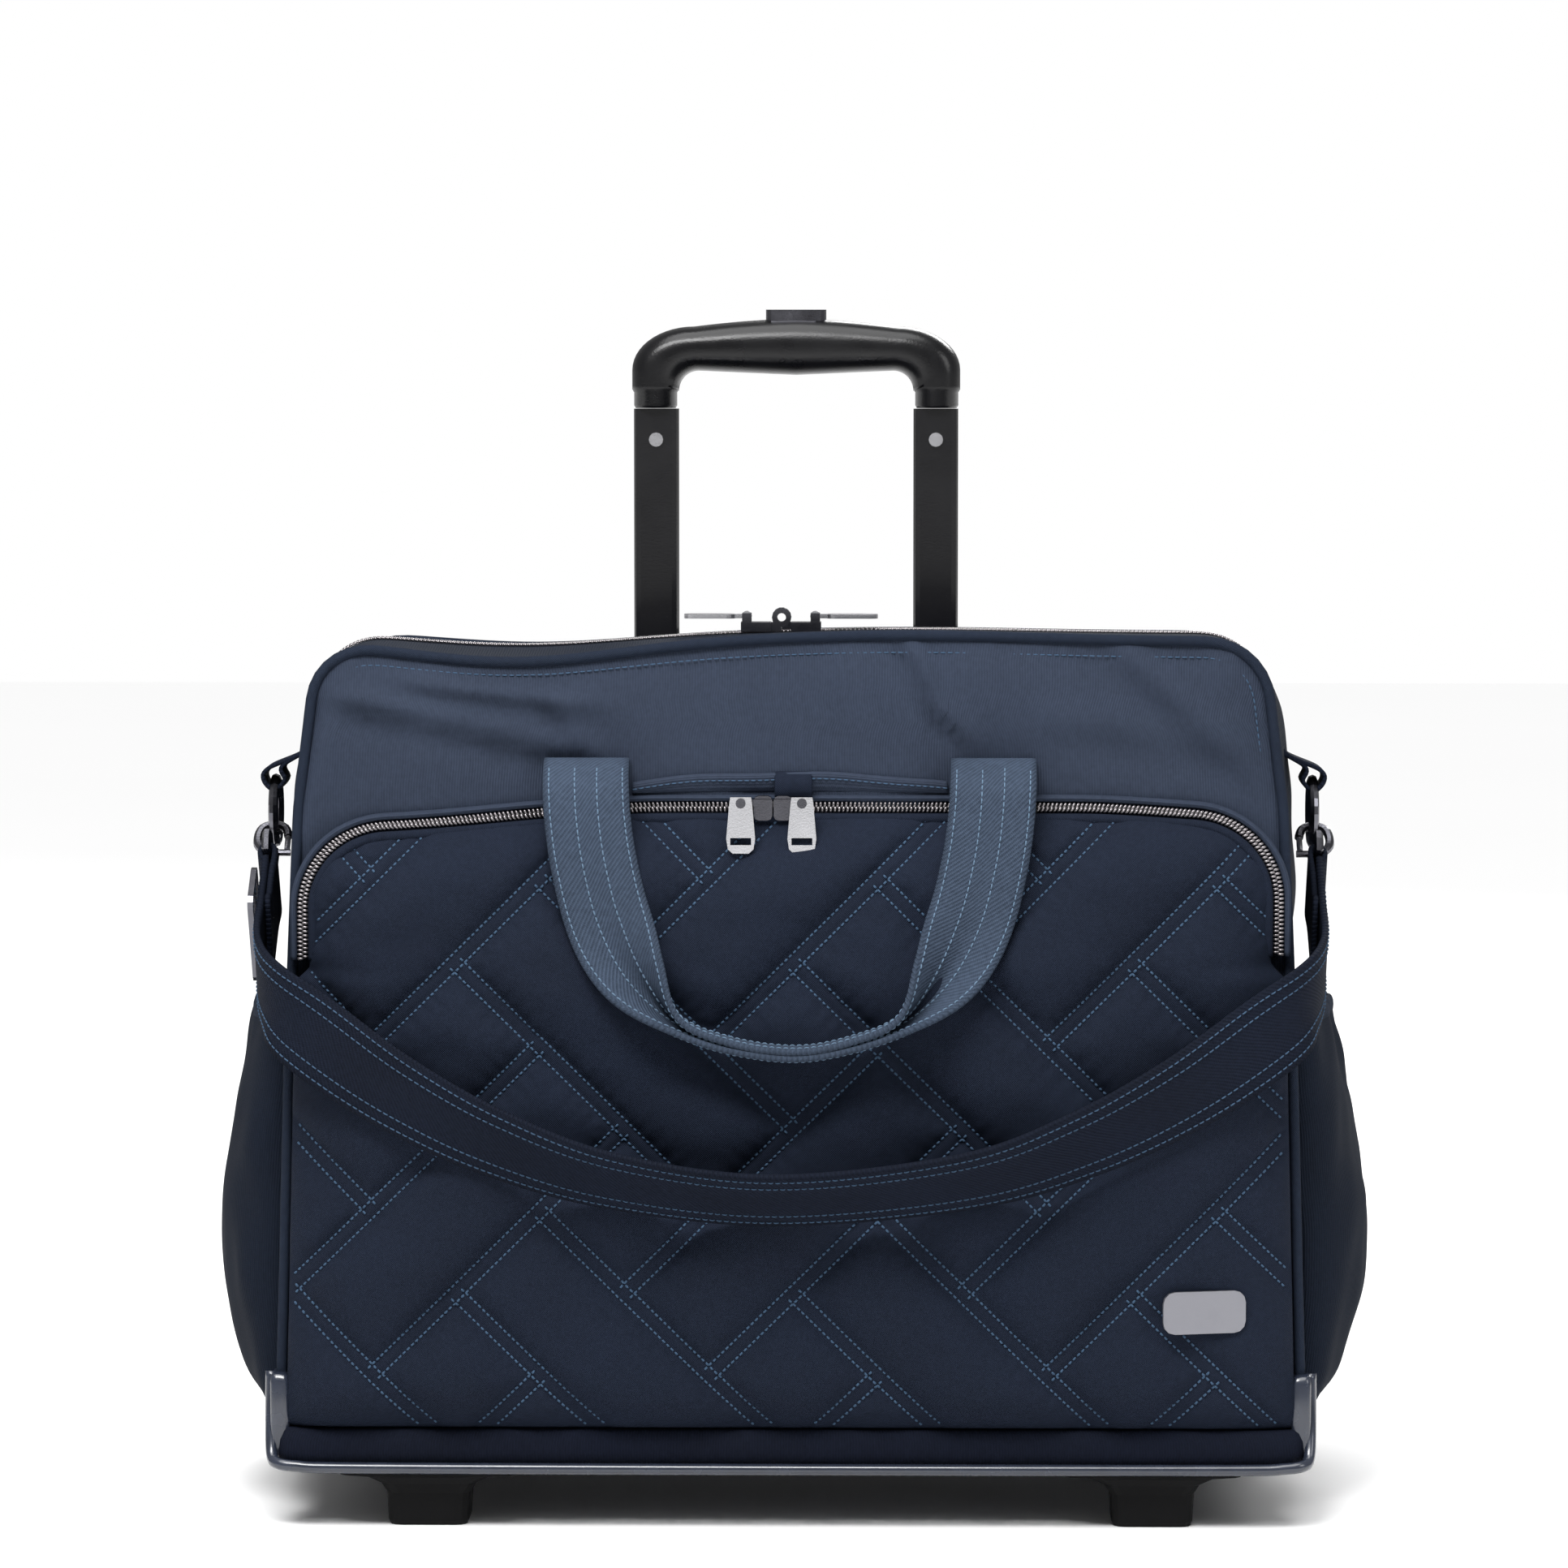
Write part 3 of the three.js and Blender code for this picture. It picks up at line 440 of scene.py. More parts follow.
def cloth(name, colour, pattern, pitch, strength=0.6, rough=0.8, contrast=0.4, edge=None):
    """Woven fabric. Its threads follow the piece's UV, which is in metres."""
    base = linear(colour)
    s = Shader(name, {"Specular IOR Level": 0.08})
    uv = s.axes(s.coords("UV"))
    place = s.coords("Object")
    u, v = uv[0], uv[1]
    if pattern == "twill":
        diagonal = s.math("ADD", u, v)
        other = s.math("SUBTRACT", u, v)
        weave = s.math("ADD", s.math("MULTIPLY", s.sine(diagonal, pitch), 0.7),
                       s.math("MULTIPLY", s.sine(other, pitch * 0.5), 0.3))
    elif pattern == "rib":
        cross = s.math("MULTIPLY", s.sine(u, pitch), s.sine(v, pitch * 0.8))
        weave = s.math("ADD", s.math("MULTIPLY", s.sine(u, pitch), 0.62), s.math("MULTIPLY", cross, 0.38))
    else:
        weave = s.math("MULTIPLY", s.sine(u, pitch), s.sine(v, pitch))
    slub = s.noise(place, 2.2, 2.0)
    cloud = s.noise(place, 55, 3.0)
    tone = s.math("ADD", s.math("MULTIPLY", weave, 0.5 * contrast), 0.5)
    tone = s.math("ADD", tone, s.math("MULTIPLY", s.math("SUBTRACT", slub, 0.5), contrast * 1.2))
    tone = s.math("ADD", tone, s.math("MULTIPLY", s.math("SUBTRACT", cloud, 0.5), contrast * 1.1))
    tint = s.mix(tone, shade(base, 0.55), shade(base, 1.5))
    if edge is not None:
        reach = s.math("ABSOLUTE", u)
        rim = s.span(reach, (edge - 1.6) * MM, edge * MM)
        tint = s.mix(s.math("MULTIPLY", rim, 0.3), tint, shade(base, 0.4))
    grain = s.math("ADD", weave, s.math("MULTIPLY", slub, 1.1))
    roughness = s.span(cloud, 0.2, 0.8, rough - 0.06, min(rough + 0.06, 1))
    return s.finish(tint, roughness, grain, strength, 0.22)


def polished(name, colour, rough, metallic, grain=0.35, coat=0.0, worn=1.35, size=9.0):
    """Metal or smooth plastic with fine scratches, cloudy gloss and slightly worn patches."""
    base = linear(colour)
    s = Shader(name, {"Metallic": metallic, "Coat Weight": coat, "Coat Roughness": 0.12})
    place = s.coords("Object")
    cloud = s.noise(place, size, 4.0)
    fine = s.noise(place, 0.7, 2.0)
    tint = s.mix(s.span(cloud, 0.35, 0.75), base, shade(base, worn))
    roughness = s.span(cloud, 0.25, 0.75, rough * 0.75, min(rough * 1.35, 1))
    return s.finish(tint, roughness, fine, grain, 0.06)


def moulded(name, colour, rough, grain=0.5, size=0.9, spec=0.45):
    """Moulded plastic or rubber with a fine leather-like grain."""
    base = linear(colour)
    s = Shader(name, {"Specular IOR Level": spec})
    place = s.coords("Object")
    node = s.tree.nodes.new("ShaderNodeTexVoronoi")
    s.put(node.inputs["Vector"], place)
    node.inputs["Scale"].default_value = 1 / (size * MM)
    cloud = s.noise(place, 26, 4.0)
    tint = s.mix(s.span(cloud, 0.3, 0.75), base, shade(base, 1.5))
    roughness = s.span(cloud, 0.25, 0.75, rough - 0.06, min(rough + 0.1, 1))
    return s.finish(tint, roughness, node.outputs["Distance"], grain, 0.12)


BODY_CLOTH = cloth("body_cloth", (45, 52, 66), "rib", 1.15)
# Same woven fabric as BODY_CLOTH, with painted shade: darker for the gussets, top strips, flap, back panel
# and side pockets.
SIDE_CLOTH_PAINTED_SHADE = cloth("side_cloth", (18, 24, 35), "rib", 1.15)
QUILT_CLOTH = cloth("quilt_cloth", (24, 30, 43), "plain", 0.95, strength=0.6)
BAND_CLOTH = cloth("band_cloth", (14, 18, 30), "rib", 1.15)
HANDLE_WEB = cloth("handle_webbing", (54, 64, 79), "twill", 2.2, strength=0.8, contrast=0.55, edge=18.5)
STRAP_WEB = cloth("strap_webbing", (18, 23, 35), "twill", 2.2, strength=0.8, contrast=0.5, edge=18.5)
PIPING_CLOTH = cloth("piping_cloth", (30, 37, 50), "plain", 0.9)
LINING = cloth("lining_cloth", (80, 82, 87), "plain", 0.8, contrast=0.15)
TAPE_CLOTH = cloth("zip_tape", (16, 19, 28), "rib", 0.9)
THREAD = cloth("thread", (92, 112, 132), "twill", 0.7, contrast=0.2)
DARK_THREAD = cloth("quilt_thread", (60, 80, 102), "twill", 0.7, contrast=0.2)
VINYL = polished("vinyl", (34, 39, 51), 0.24, 0.0, coat=0.5, size=14)
NICKEL = polished("bright_metal", (214, 214, 218), 0.2, 1.0, worn=1.06)
SATIN = polished("satin_metal", (140, 140, 146), 0.5, 1.0, worn=1.1)
GUNMETAL = polished("dark_metal", (96, 96, 102), 0.22, 1.0, worn=1.2)
TEETH = polished("zip_metal", (134, 130, 132), 0.3, 0.95, worn=1.25)
TUBE_GLOSS = polished("tube_metal", (12, 12, 15), 0.2, 0.0, coat=0.15, worn=1.2, size=30)
PLASTIC = moulded("black_plastic", (9, 9, 11), 0.26, grain=0.25, spec=0.35)
RUBBER = moulded("rubber", (8, 8, 9), 0.6, size=1.6, spec=0.12)
HUB_PLASTIC = moulded("hub_plastic", (22, 23, 27), 0.45)


# ---------------------------------------------------------------- camera, light and floor
CAMERA_PLACE = (0.0423, -2.7878, 0.520)
CAMERA_DOWN = 4.29
CAMERA_TURN = 0.95
CAMERA_LENS = 147.25
WORLD_LIGHT = 0.3
WORLD_SEEN = 1.0
FLOOR_REACH = 6000.0


def build_camera():
    data = bpy.data.cameras.new("camera")
    data.sensor_width = 36
    data.lens = CAMERA_LENS
    camera = bpy.data.objects.new("camera", data)
    camera.location = CAMERA_PLACE
    camera.rotation_euler = (math.radians(90 - CAMERA_DOWN), 0, math.radians(CAMERA_TURN))
    SCENE.collection.objects.link(camera)
    SCENE.camera = camera


def area_light(name, place, target, size, power):
    data = bpy.data.lights.new(name, "AREA")
    data.shape = "RECTANGLE"
    data.size = size[0]
    data.size_y = size[1]
    data.energy = power
    light = bpy.data.objects.new(name, data)
    light.location = place
    light.rotation_euler = (Vector(target) - Vector(place)).to_track_quat("-Z", "Y").to_euler()
    SCENE.collection.objects.link(light)


def build_stage():
    """A pale floor, a bright backdrop that adds little light of its own, and soft lights from above."""
    world = bpy.data.worlds.new("world")
    SCENE.world = world
    world.use_nodes = True
    nodes, links = world.node_tree.nodes, world.node_tree.links
    seen = nodes.new("ShaderNodeLightPath").outputs["Is Camera Ray"]
    glow = nodes.new("ShaderNodeMapRange")
    links.new(seen, glow.inputs[0])
    glow.inputs[3].default_value = WORLD_LIGHT
    glow.inputs[4].default_value = WORLD_SEEN
    nodes["Background"].inputs[0].default_value = (1, 1, 1, 1)
    links.new(glow.outputs[0], nodes["Background"].inputs[1])
    data = bpy.data.lights.new("overhead", "SUN")
    data.energy = 2.5
    data.angle = math.radians(50)
    sun = bpy.data.objects.new("overhead", data)
    sun.rotation_euler = (math.radians(14), math.radians(-4), 0)
    SCENE.collection.objects.link(sun)
    area_light("key", (-0.3, -0.85, 1.35), (0, -0.1, 0.22), (0.9, 0.35), 20)
    area_light("side_key", (1.5, -1.0, 1.2), (0, 0, 0.25), (0.6, 0.8), 7)
    area_light("back_key", (0.6, 1.9, 1.5), (0, 0, 0.25), (1.2, 0.6), 28)
    SCENE.view_settings.view_transform = "Standard"
    x, y = np.meshgrid([-FLOOR_REACH, FLOOR_REACH], [-FLOOR_REACH, FLOOR_REACH])
    floor = surface("floor", np.stack([x, y, np.zeros_like(x)], -1))
    s = Shader("floor_paint", {"Roughness": 0.7, "Specular IOR Level": 0.2})
    cloud = s.noise(s.coords("Object"), 900, 2.0)
    tint = s.mix(cloud, (0.93, 0.93, 0.93, 1), (0.95, 0.95, 0.95, 1))
    floor.data.materials.append(s.finish(tint))


# ---------------------------------------------------------------- shell
def shell_line(count):
    """The shell's outline from lower left over the top to lower right, with its outward normals."""
    a = np.linspace(0, math.pi / 2, 14)[1:]
    cx = CORNER_HALF - CORNER_R
    arc = np.stack([-cx - CORNER_R * np.cos(a), SIDE_TOP + CORNER_R * np.sin(a)], -1)
    left = np.vstack([[(-half, z) for z, half in SIDE_STEPS], arc])
    points = resample(np.vstack([left, left[::-1] * [-1, 1]]), count)
    for _ in range(3):
        points[1:-1] = (points[:-2] + 2 * points[1:-1] + points[2:]) / 4
    along = unit(np.gradient(points, axis=0))
    return points, np.stack([-along[:, 1], along[:, 0]], -1)


def crown(x):
    """How the top rises and dips between the corners, at the front edge."""
    return 2.5 * hill(x, 50, 75) - 9 * hill(x, -118, 64)


def crown_at(x, z, y):
    """The crown over the whole depth of the top: fullest at the front edge, and even from the zip back."""
    ease = 1 - 0.4 * np.clip((y - FRONT_Y) / (ZIP_Y - FRONT_Y), 0, 1)
    return crown(x) * ease * smoothstep(z, SIDE_TOP - 4, SHELL_TOP)


SHELL_POINTS, SHELL_NORMALS = shell_line(361)
TOP_FROM = int(np.argmax(SHELL_POINTS[:, 1] > SIDE_TOP + 0.6))
TOP_TO = len(SHELL_POINTS) - TOP_FROM
SHELL_WAVE = Waves(3, 150)
SHELL_FINE = Waves(5, 46)


def fall(z, y):
    """How far the top has sunk at a height and depth: nothing as far as the zip, most at the back."""
    return TOP_DROP * np.clip((y - FLAP_FRONT) / (BACK_Y - FLAP_FRONT), 0, 1) * np.clip(
        (z - SIDE_TOP) / CORNER_R, 0, 1)


def shell_surface(points, normals, depths):
    """Points over the shell at outline points and depths, with side bulge, top sag and soft creases."""
    x, z = points[:, 0], points[:, 1]
    grid = np.zeros((len(depths), len(points), 3))
    upright = 1 - smoothstep(z, SIDE_TOP - 10, SIDE_TOP + 24)
    side_bulge = (2 + 7.5 * smoothstep(z, 215, 270)) * upright * smoothstep(z, SHELL_LOW, SHELL_LOW + 30)
    for r, y in enumerate(depths):
        t = (y - FRONT_Y) / (BACK_Y - FRONT_Y)
        belly = math.sin(math.pi * min(max(t, 0), 1) ** 1.5)
        lift = 0.6 * smoothstep(t, 0.32, 0.62) * (1 - smoothstep(t, 0.8, 1.0))
        out = side_bulge * belly + lift * (1 - upright)
        p = np.stack([x + normals[:, 0] * out, np.full_like(x, y), z + normals[:, 1] * out], -1)
        edge = math.sin(math.pi * min(max(t, 0), 1)) ** 0.7
        calm = 1 - hill(t, (ZIP_Y - FRONT_Y) / (BACK_Y - FRONT_Y), 0.07)
        wrinkle = (1.1 * SHELL_WAVE(p) + 0.45 * SHELL_FINE(p * [1, 0.5, 1])) * edge
        wrinkle = wrinkle * (0.4 * calm * (1 - upright) + upright)
        p[:, 0] += normals[:, 0] * wrinkle
        p[:, 2] += normals[:, 1] * wrinkle
        p[:, 2] += crown_at(x, z, y) - fall(z, y)
        grid[r] = p
    return grid


def shell_part(name, first, last, y0, y1, nodes=(), body="bag"):
    """A piece of the shell between two outline points and two depths."""
    steps = max(int((y1 - y0) / 5), 3)
    grid = shell_surface(SHELL_POINTS[first:last], SHELL_NORMALS[first:last], np.linspace(y0, y1, steps))
    obj = surface(name, grid)
    lined(obj, SIDE_CLOTH_PAINTED_SHADE, GUSSET_THICK)
    subdivide(obj)
    settle(obj)
    return piece(obj, SIDE_CLOTH_PAINTED_SHADE, body, nodes)


def panel_half(z):
    """Half width of the front and back panels at a height."""
    if z > SIDE_TOP:
        rise = min((z - SIDE_TOP) / CORNER_R, 1)
        return CORNER_HALF - CORNER_R + CORNER_R * math.sqrt(max(1 - rise * rise, 0))
    return float(np.interp(z, [z for z, _ in SIDE_STEPS], [half for _, half in SIDE_STEPS]))


def panel_grid(cols, extra_rows=()):
    """X and Z over a whole panel, and its half width at each row."""
    arc = SIDE_TOP + CORNER_R * np.sin(np.linspace(0, math.pi / 2, 10))
    rows = np.concatenate([np.arange(SHELL_LOW, SHELL_TOP, 4.5), [SHELL_TOP], extra_rows, arc])
    rows = np.unique(np.round(rows, 3))
    half = np.array([panel_half(z) for z in rows])[:, None]
    return half * np.linspace(-1, 1, cols)[None], np.repeat(rows[:, None], cols, 1), half


CREASES = (
    # start and end in X and Z, width, height
    ((-180, 352), (-98, 334), 5.5, 4.2), ((-150, 362), (-92, 352), 6.0, 2.4),
    ((-98, 350), (-84, 331), 4.0, 2.6), ((54, 368), (66, 346), 3.4, 3.6),
    ((66, 346), (74, 338), 3.0, 2.6), ((150, 366), (188, 330), 7.0, 3.0),
    ((-196, 340), (-206, 300), 6.0, 2.0), ((120, 344), (178, 336), 7.0, 1.3),
)


def creases_at(x, z):
    """Soft pulled folds in the front panel, each a ridge with a hollow below it."""
    total = np.zeros_like(x)
    for (x0, z0), (x1, z1), width, tall in CREASES:
        d = np.array([x1 - x0, z1 - z0], float)
        size = np.linalg.norm(d)
        d /= size
        along = (x - x0) * d[0] + (z - z0) * d[1]
        across = -(x - x0) * d[1] + (z - z0) * d[0]
        beyond = np.maximum(np.maximum(-along, along - size), 0)
        fade = np.exp(-(beyond / (2.2 * width)) ** 2)
        total += tall * fade * (hill(across, 0, width) - 0.7 * hill(across, -1.5 * width, width))
    return total


def build_panels():
    """The front panel with its pulled folds, and the back panel with a notch at each wheel."""
    x, z, half = panel_grid(120)
    inset = np.minimum(half - np.abs(x), SHELL_TOP - z)
    wave = Waves(11, 120)
    fold = Waves(12, 38)
    p = np.stack([x, np.zeros_like(x), z], -1)
    bulge = PANEL_BULGE * (1 - np.exp(-inset / 15)) * smoothstep(z, 250, 320)
    bulge *= 1 - 0.45 * (hill(np.abs(x), 87, 26) * hill(z, 322, 16))
    creases = 0.9 * wave(p * [0.8, 1, 1.3]) + 0.5 * fold(p * [1, 1, 0.35]) * smoothstep(z, 300, 330)
    y = FRONT_Y - bulge - creases * (1 - np.exp(-inset / 9)) - creases_at(x, z)
    front = surface("front_panel_cloth", np.stack([x, y, z + crown_at(x, z, FRONT_Y)], -1))
    lined(front, BODY_CLOTH, PANEL_THICK)
    piece(front, BODY_CLOTH, nodes=("front_panel",))

    house_lo, house_hi = box_mm("wheel_housing_right")
    x, z, half = panel_grid(130, (house_hi[2] + 0.6,))
    inset = np.minimum(half - np.abs(x), np.minimum(SHELL_TOP - z, z - SHELL_LOW + 3))
    p = np.stack([x, np.full_like(x, 5.0), z], -1)
    sleeve = 1.6 * hill(np.abs(x), 63, 14) * smoothstep(z, 70, 100)
    y = BACK_Y + 2.0 * (1 - np.exp(-inset / 18)) + 0.8 * wave(p) * (1 - np.exp(-inset / 12)) + sleeve
    middle = np.abs(x[:-1, :-1] + x[:-1, 1:]) / 2
    housed = (middle > house_lo[0] - 0.4) & (middle < house_hi[0] + 0.4)
    keep = ~(housed & (z[1:, 1:] < house_hi[2] + 0.9))
    back = surface("back_panel_cloth", np.stack([x, y, z + crown_at(x, z, BACK_Y) - fall(z, BACK_Y)], -1),
                   keep=keep, flip=True)
    lined(back, SIDE_CLOTH_PAINTED_SHADE, PANEL_THICK)
    piece(back, SIDE_CLOTH_PAINTED_SHADE, nodes=("back_panel",))


def build_shell():
    """The gussets, the strips of the top, the flap and everything sewn to them."""
    last = len(SHELL_POINTS)
    shell_part("side_gusset_left_cloth", 0, TOP_FROM + 1, FRONT_Y, BACK_Y, ("side_gusset_left",))
    shell_part("side_gusset_right_cloth", TOP_TO - 1, last, FRONT_Y, BACK_Y, ("side_gusset_right",))
    shell_part("top_strip_cloth", TOP_FROM, TOP_TO, FRONT_Y, STRIP_BACK, ("top_front_gusset",))
    strip = shell_part("back_strip_cloth", TOP_FROM, TOP_TO, FLAP_BACK, BACK_Y)
    lo, hi = box_mm("tube_bezel")
    cut_away(strip, (lo[0] - 0.3, lo[1] - 0.3, 340), (hi[0] + 0.3, hi[1] + 0.3, 400))
    flap = shell_part("top_flap_cloth", TOP_FROM, TOP_TO, FLAP_FRONT, FLAP_BACK, ("top_flap",), "flap")
    flap.parent = None
    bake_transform(flap)
    build_panels()
    build_edges()
    build_base()


def edge_line(y, inset):
    """A line round the shell's outline at one depth, for piping and seams."""
    line = at_depth(SHELL_POINTS - SHELL_NORMALS * inset, y)
    line[:, 2] += crown_at(line[:, 0], line[:, 2], y) - fall(line[:, 2], y)
    return line[::2]


def build_edges():
    """The piping at the front and back edges, and the row of stitches inside the front one."""
    front = round_tube("front_piping_cord", edge_line(FRONT_Y - 1.6, 0.6), 2.3, 12)
    piece(front, PIPING_CLOTH, nodes=("front_piping",))
    back = round_tube("back_piping_cord", edge_line(BACK_Y + 0.6, 0.8), 2.4, 10)
    piece(back, PIPING_CLOTH)
    inset = 7.5
    line = edge_line(FRONT_Y, inset)
    line = line[line[:, 2] > 318]
    line[:, 1] -= PANEL_BULGE * (1 - math.exp(-inset / 15)) + 0.3
    marks = stitch_marks(line, forward(len(line)), 3.0)
    piece(threads("edge_stitches", marks, 2.2, 0.32), DARK_THREAD)


def build_base():
    """The plain band round the foot of the bag, its seam, and the glossy trim along its front."""
    x0, y0, z0 = BASE_LO
    x1, y1, z1 = BASE_HI
    rings = []
    for z, inset in ((z0, 7), (z0 + 0.6, 3.2), (z0 + 3, 0.8), (z0 + 7, 0.2), (z0 + 12, 0.6),
                     (z1 - 1.2, 1.8), (z1, 3)):
        r = 7 - inset * 0.4
        rings.append(rounded_plan(x0 + inset, x1 - inset, y0 + inset, y1 - inset, r, 160, z))
    rings = np.array(rings)
    wave = Waves(21, 60)
    rings[1:-1] += wave(rings[1:-1])[..., None] * np.array([0.25, 0.35, 0])
    base = closed_tube("base_band_cloth", rings)
    for side, _ in SIDES:
        lo, hi = box_mm("wheel_housing_" + side)
        cut_away(base, (lo[0] - 0.4, lo[1] - 0.5, lo[2] - 30), (hi[0] + 0.4, hi[1] + 17, hi[2] + 30))
    piece(base, BAND_CLOTH, nodes=("base_panel",))
    edge = box_mm("base_trim")[1][0] - 2.2
    front = y0 - 2.4
    half = [(edge, -78, 65), (edge, -81, 44), (edge - 1, -87.5, 30), (edge - 4.5, -93, 27.6),
            (edge - 13, front, 26.8), (edge - 30, front, 26.2), (90, front, 26)]
    line = half + [(-a, b, c) for a, b, c in reversed(half)]
    trim = round_tube("base_trim_cord", smooth_line(line, 220), 2.5, 12)
    piece(trim, VINYL, nodes=("base_trim",))
    for side, sx in SIDES:
        rings = []
        for z, inset in ((27.2, 2.5), (28.4, 0.8), (31, 0), (61, 0), (64, 0.8), (65, 2.5)):
            section = rounded_plan(edge - 8.5 + inset, edge - inset * 0.4, -86 + inset, -70, 2.2, 40, z)
            rings.append(section * [sx, 1, 1])
        corner = closed_tube("base_corner_" + side, np.array(rings))
        piece(corner, VINYL)


def rounded_plan(x0, x1, y0, y1, r, count, z):
    """A rounded rectangle seen from above, with evenly spaced points."""
    corner = []
    centres = ((x1 - r, y1 - r, 0), (x0 + r, y1 - r, 90), (x0 + r, y0 + r, 180), (x1 - r, y0 + r, 270))
    for cx, cy, turn in centres:
        for a in np.radians(turn + np.linspace(0, 90, 9)):
            corner.append((cx + r * math.cos(a), cy + r * math.sin(a), z))
    corner.append(corner[0])
    return resample(np.array(corner), count + 1)[:-1]


# ---------------------------------------------------------------- front pocket
POCKET_HALF = CHAIN_HI[0]
POCKET_TOP = CHAIN_HI[2]
POCKET_LOW = CHAIN_LO[2]
POCKET_R = 38.0
CHAIN = 5.4
SAG_LOW = 205
SAG_HIGH = 292


def sag(x):
    """How far the pocket's soft top edge hangs below its full height."""
    return 8.5 * smoothstep(-x, 40, 190) ** 1.3 + 3.6 * smoothstep(x, 120, 200)


def sunk(x, z):
    """Where the sag takes a point's height."""
    return z - sag(x) * smoothstep(z, SAG_LOW, SAG_HIGH)


def level(x, z):
    """The height that the sag takes to a given height."""
    guess = z
    for _ in range(4):
        guess = z + sag(x) * smoothstep(guess, SAG_LOW, SAG_HIGH)
    return guess


def pocket_line(inset):
    """The zip's outer outline, moved inwards, from its left end to its right end, as X and Z."""
    a = np.linspace(0, math.pi / 2, 16)
    r = POCKET_R - inset
    cx, cz = POCKET_HALF - POCKET_R, POCKET_TOP - POCKET_R
    arc = np.stack([-cx - r * np.cos(a), cz + r * np.sin(a)], -1)
    left = np.vstack([[-(POCKET_HALF - inset), POCKET_LOW], arc])
    line = resample(np.vstack([left, left[::-1] * [-1, 1]]), 260)
    line[:, 1] = sunk(line[:, 0], line[:, 1])
    return line


def pocket_sweep(name, profile):
    """A closed section of inset and Y swept round the pocket's outline."""
    rings = np.array([at_depth(pocket_line(inset), y) for inset, y in profile])
    return closed_tube(name, rings.transpose(1, 0, 2))


def ellipse(cx, cy, rx, ry):
    a = np.linspace(0, 2 * math.pi, 14, endpoint=False)
    return np.stack([cx + rx * np.cos(a), cy + ry * np.sin(a)], -1)


QUILT_START = np.array([-176.9, 277.8])
QUILT_STEP = np.array([35.69, 35.1])
RISING = {(0, 2), (1, 1), (2, 0), (3, 1), (0, 0), (1, 3)}
FALLING = {(1, 1), (2, 2), (3, 3), (2, 0), (3, 1), (0, 2)}
STITCH_OFFSET = 3.0
QUILT_PUFF = 7.0
QUILT_REACH = 11.0


def pad_half(z):
    """Half width of the padded pocket at a height."""
    narrow = POCKET_HALF - CHAIN - 0.5
    wide = float(np.interp(z, [PAD_LO[2] + 5, POCKET_LOW - 10], [PAD_HI[0], PAD_HI[0] - 4.6]))
    r = POCKET_R - CHAIN - 0.5
    top = PAD_HI[2]
    if z > top - r:
        rise = min((z - top + r) / r, 1)
        return narrow - r + r * math.sqrt(max(1 - rise * rise, 0))
    return wide + (narrow - wide) * float(smoothstep(np.array(z), POCKET_LOW - 12, POCKET_LOW - 2))


def channels():
    """The sewn channels of the quilting, as pairs of end points in X and Z."""
    found = []
    for k in range(-2, 13):
        for m in range(-2, 9):
            if (k + m) % 2:
                continue
            start = QUILT_START + QUILT_STEP * [k, -m]
            if (k % 4, m % 4) in RISING:
                found.append((start, start + QUILT_STEP))
            if (k % 4, m % 4) in FALLING:
                found.append((start, start + QUILT_STEP * [1, -1]))
    return np.array(found)


def to_segments(points, segments):
    """Distance of each point to each segment, and its place along it in millimetres."""
    a = segments[:, 0][None]
    d = (segments[:, 1] - segments[:, 0])[None]
    size = np.linalg.norm(d, axis=-1)
    rel = points[:, None] - a
    along = np.clip((rel * d).sum(-1) / size ** 2, 0, 1)
    return np.linalg.norm(rel - along[..., None] * d, axis=-1), along * size


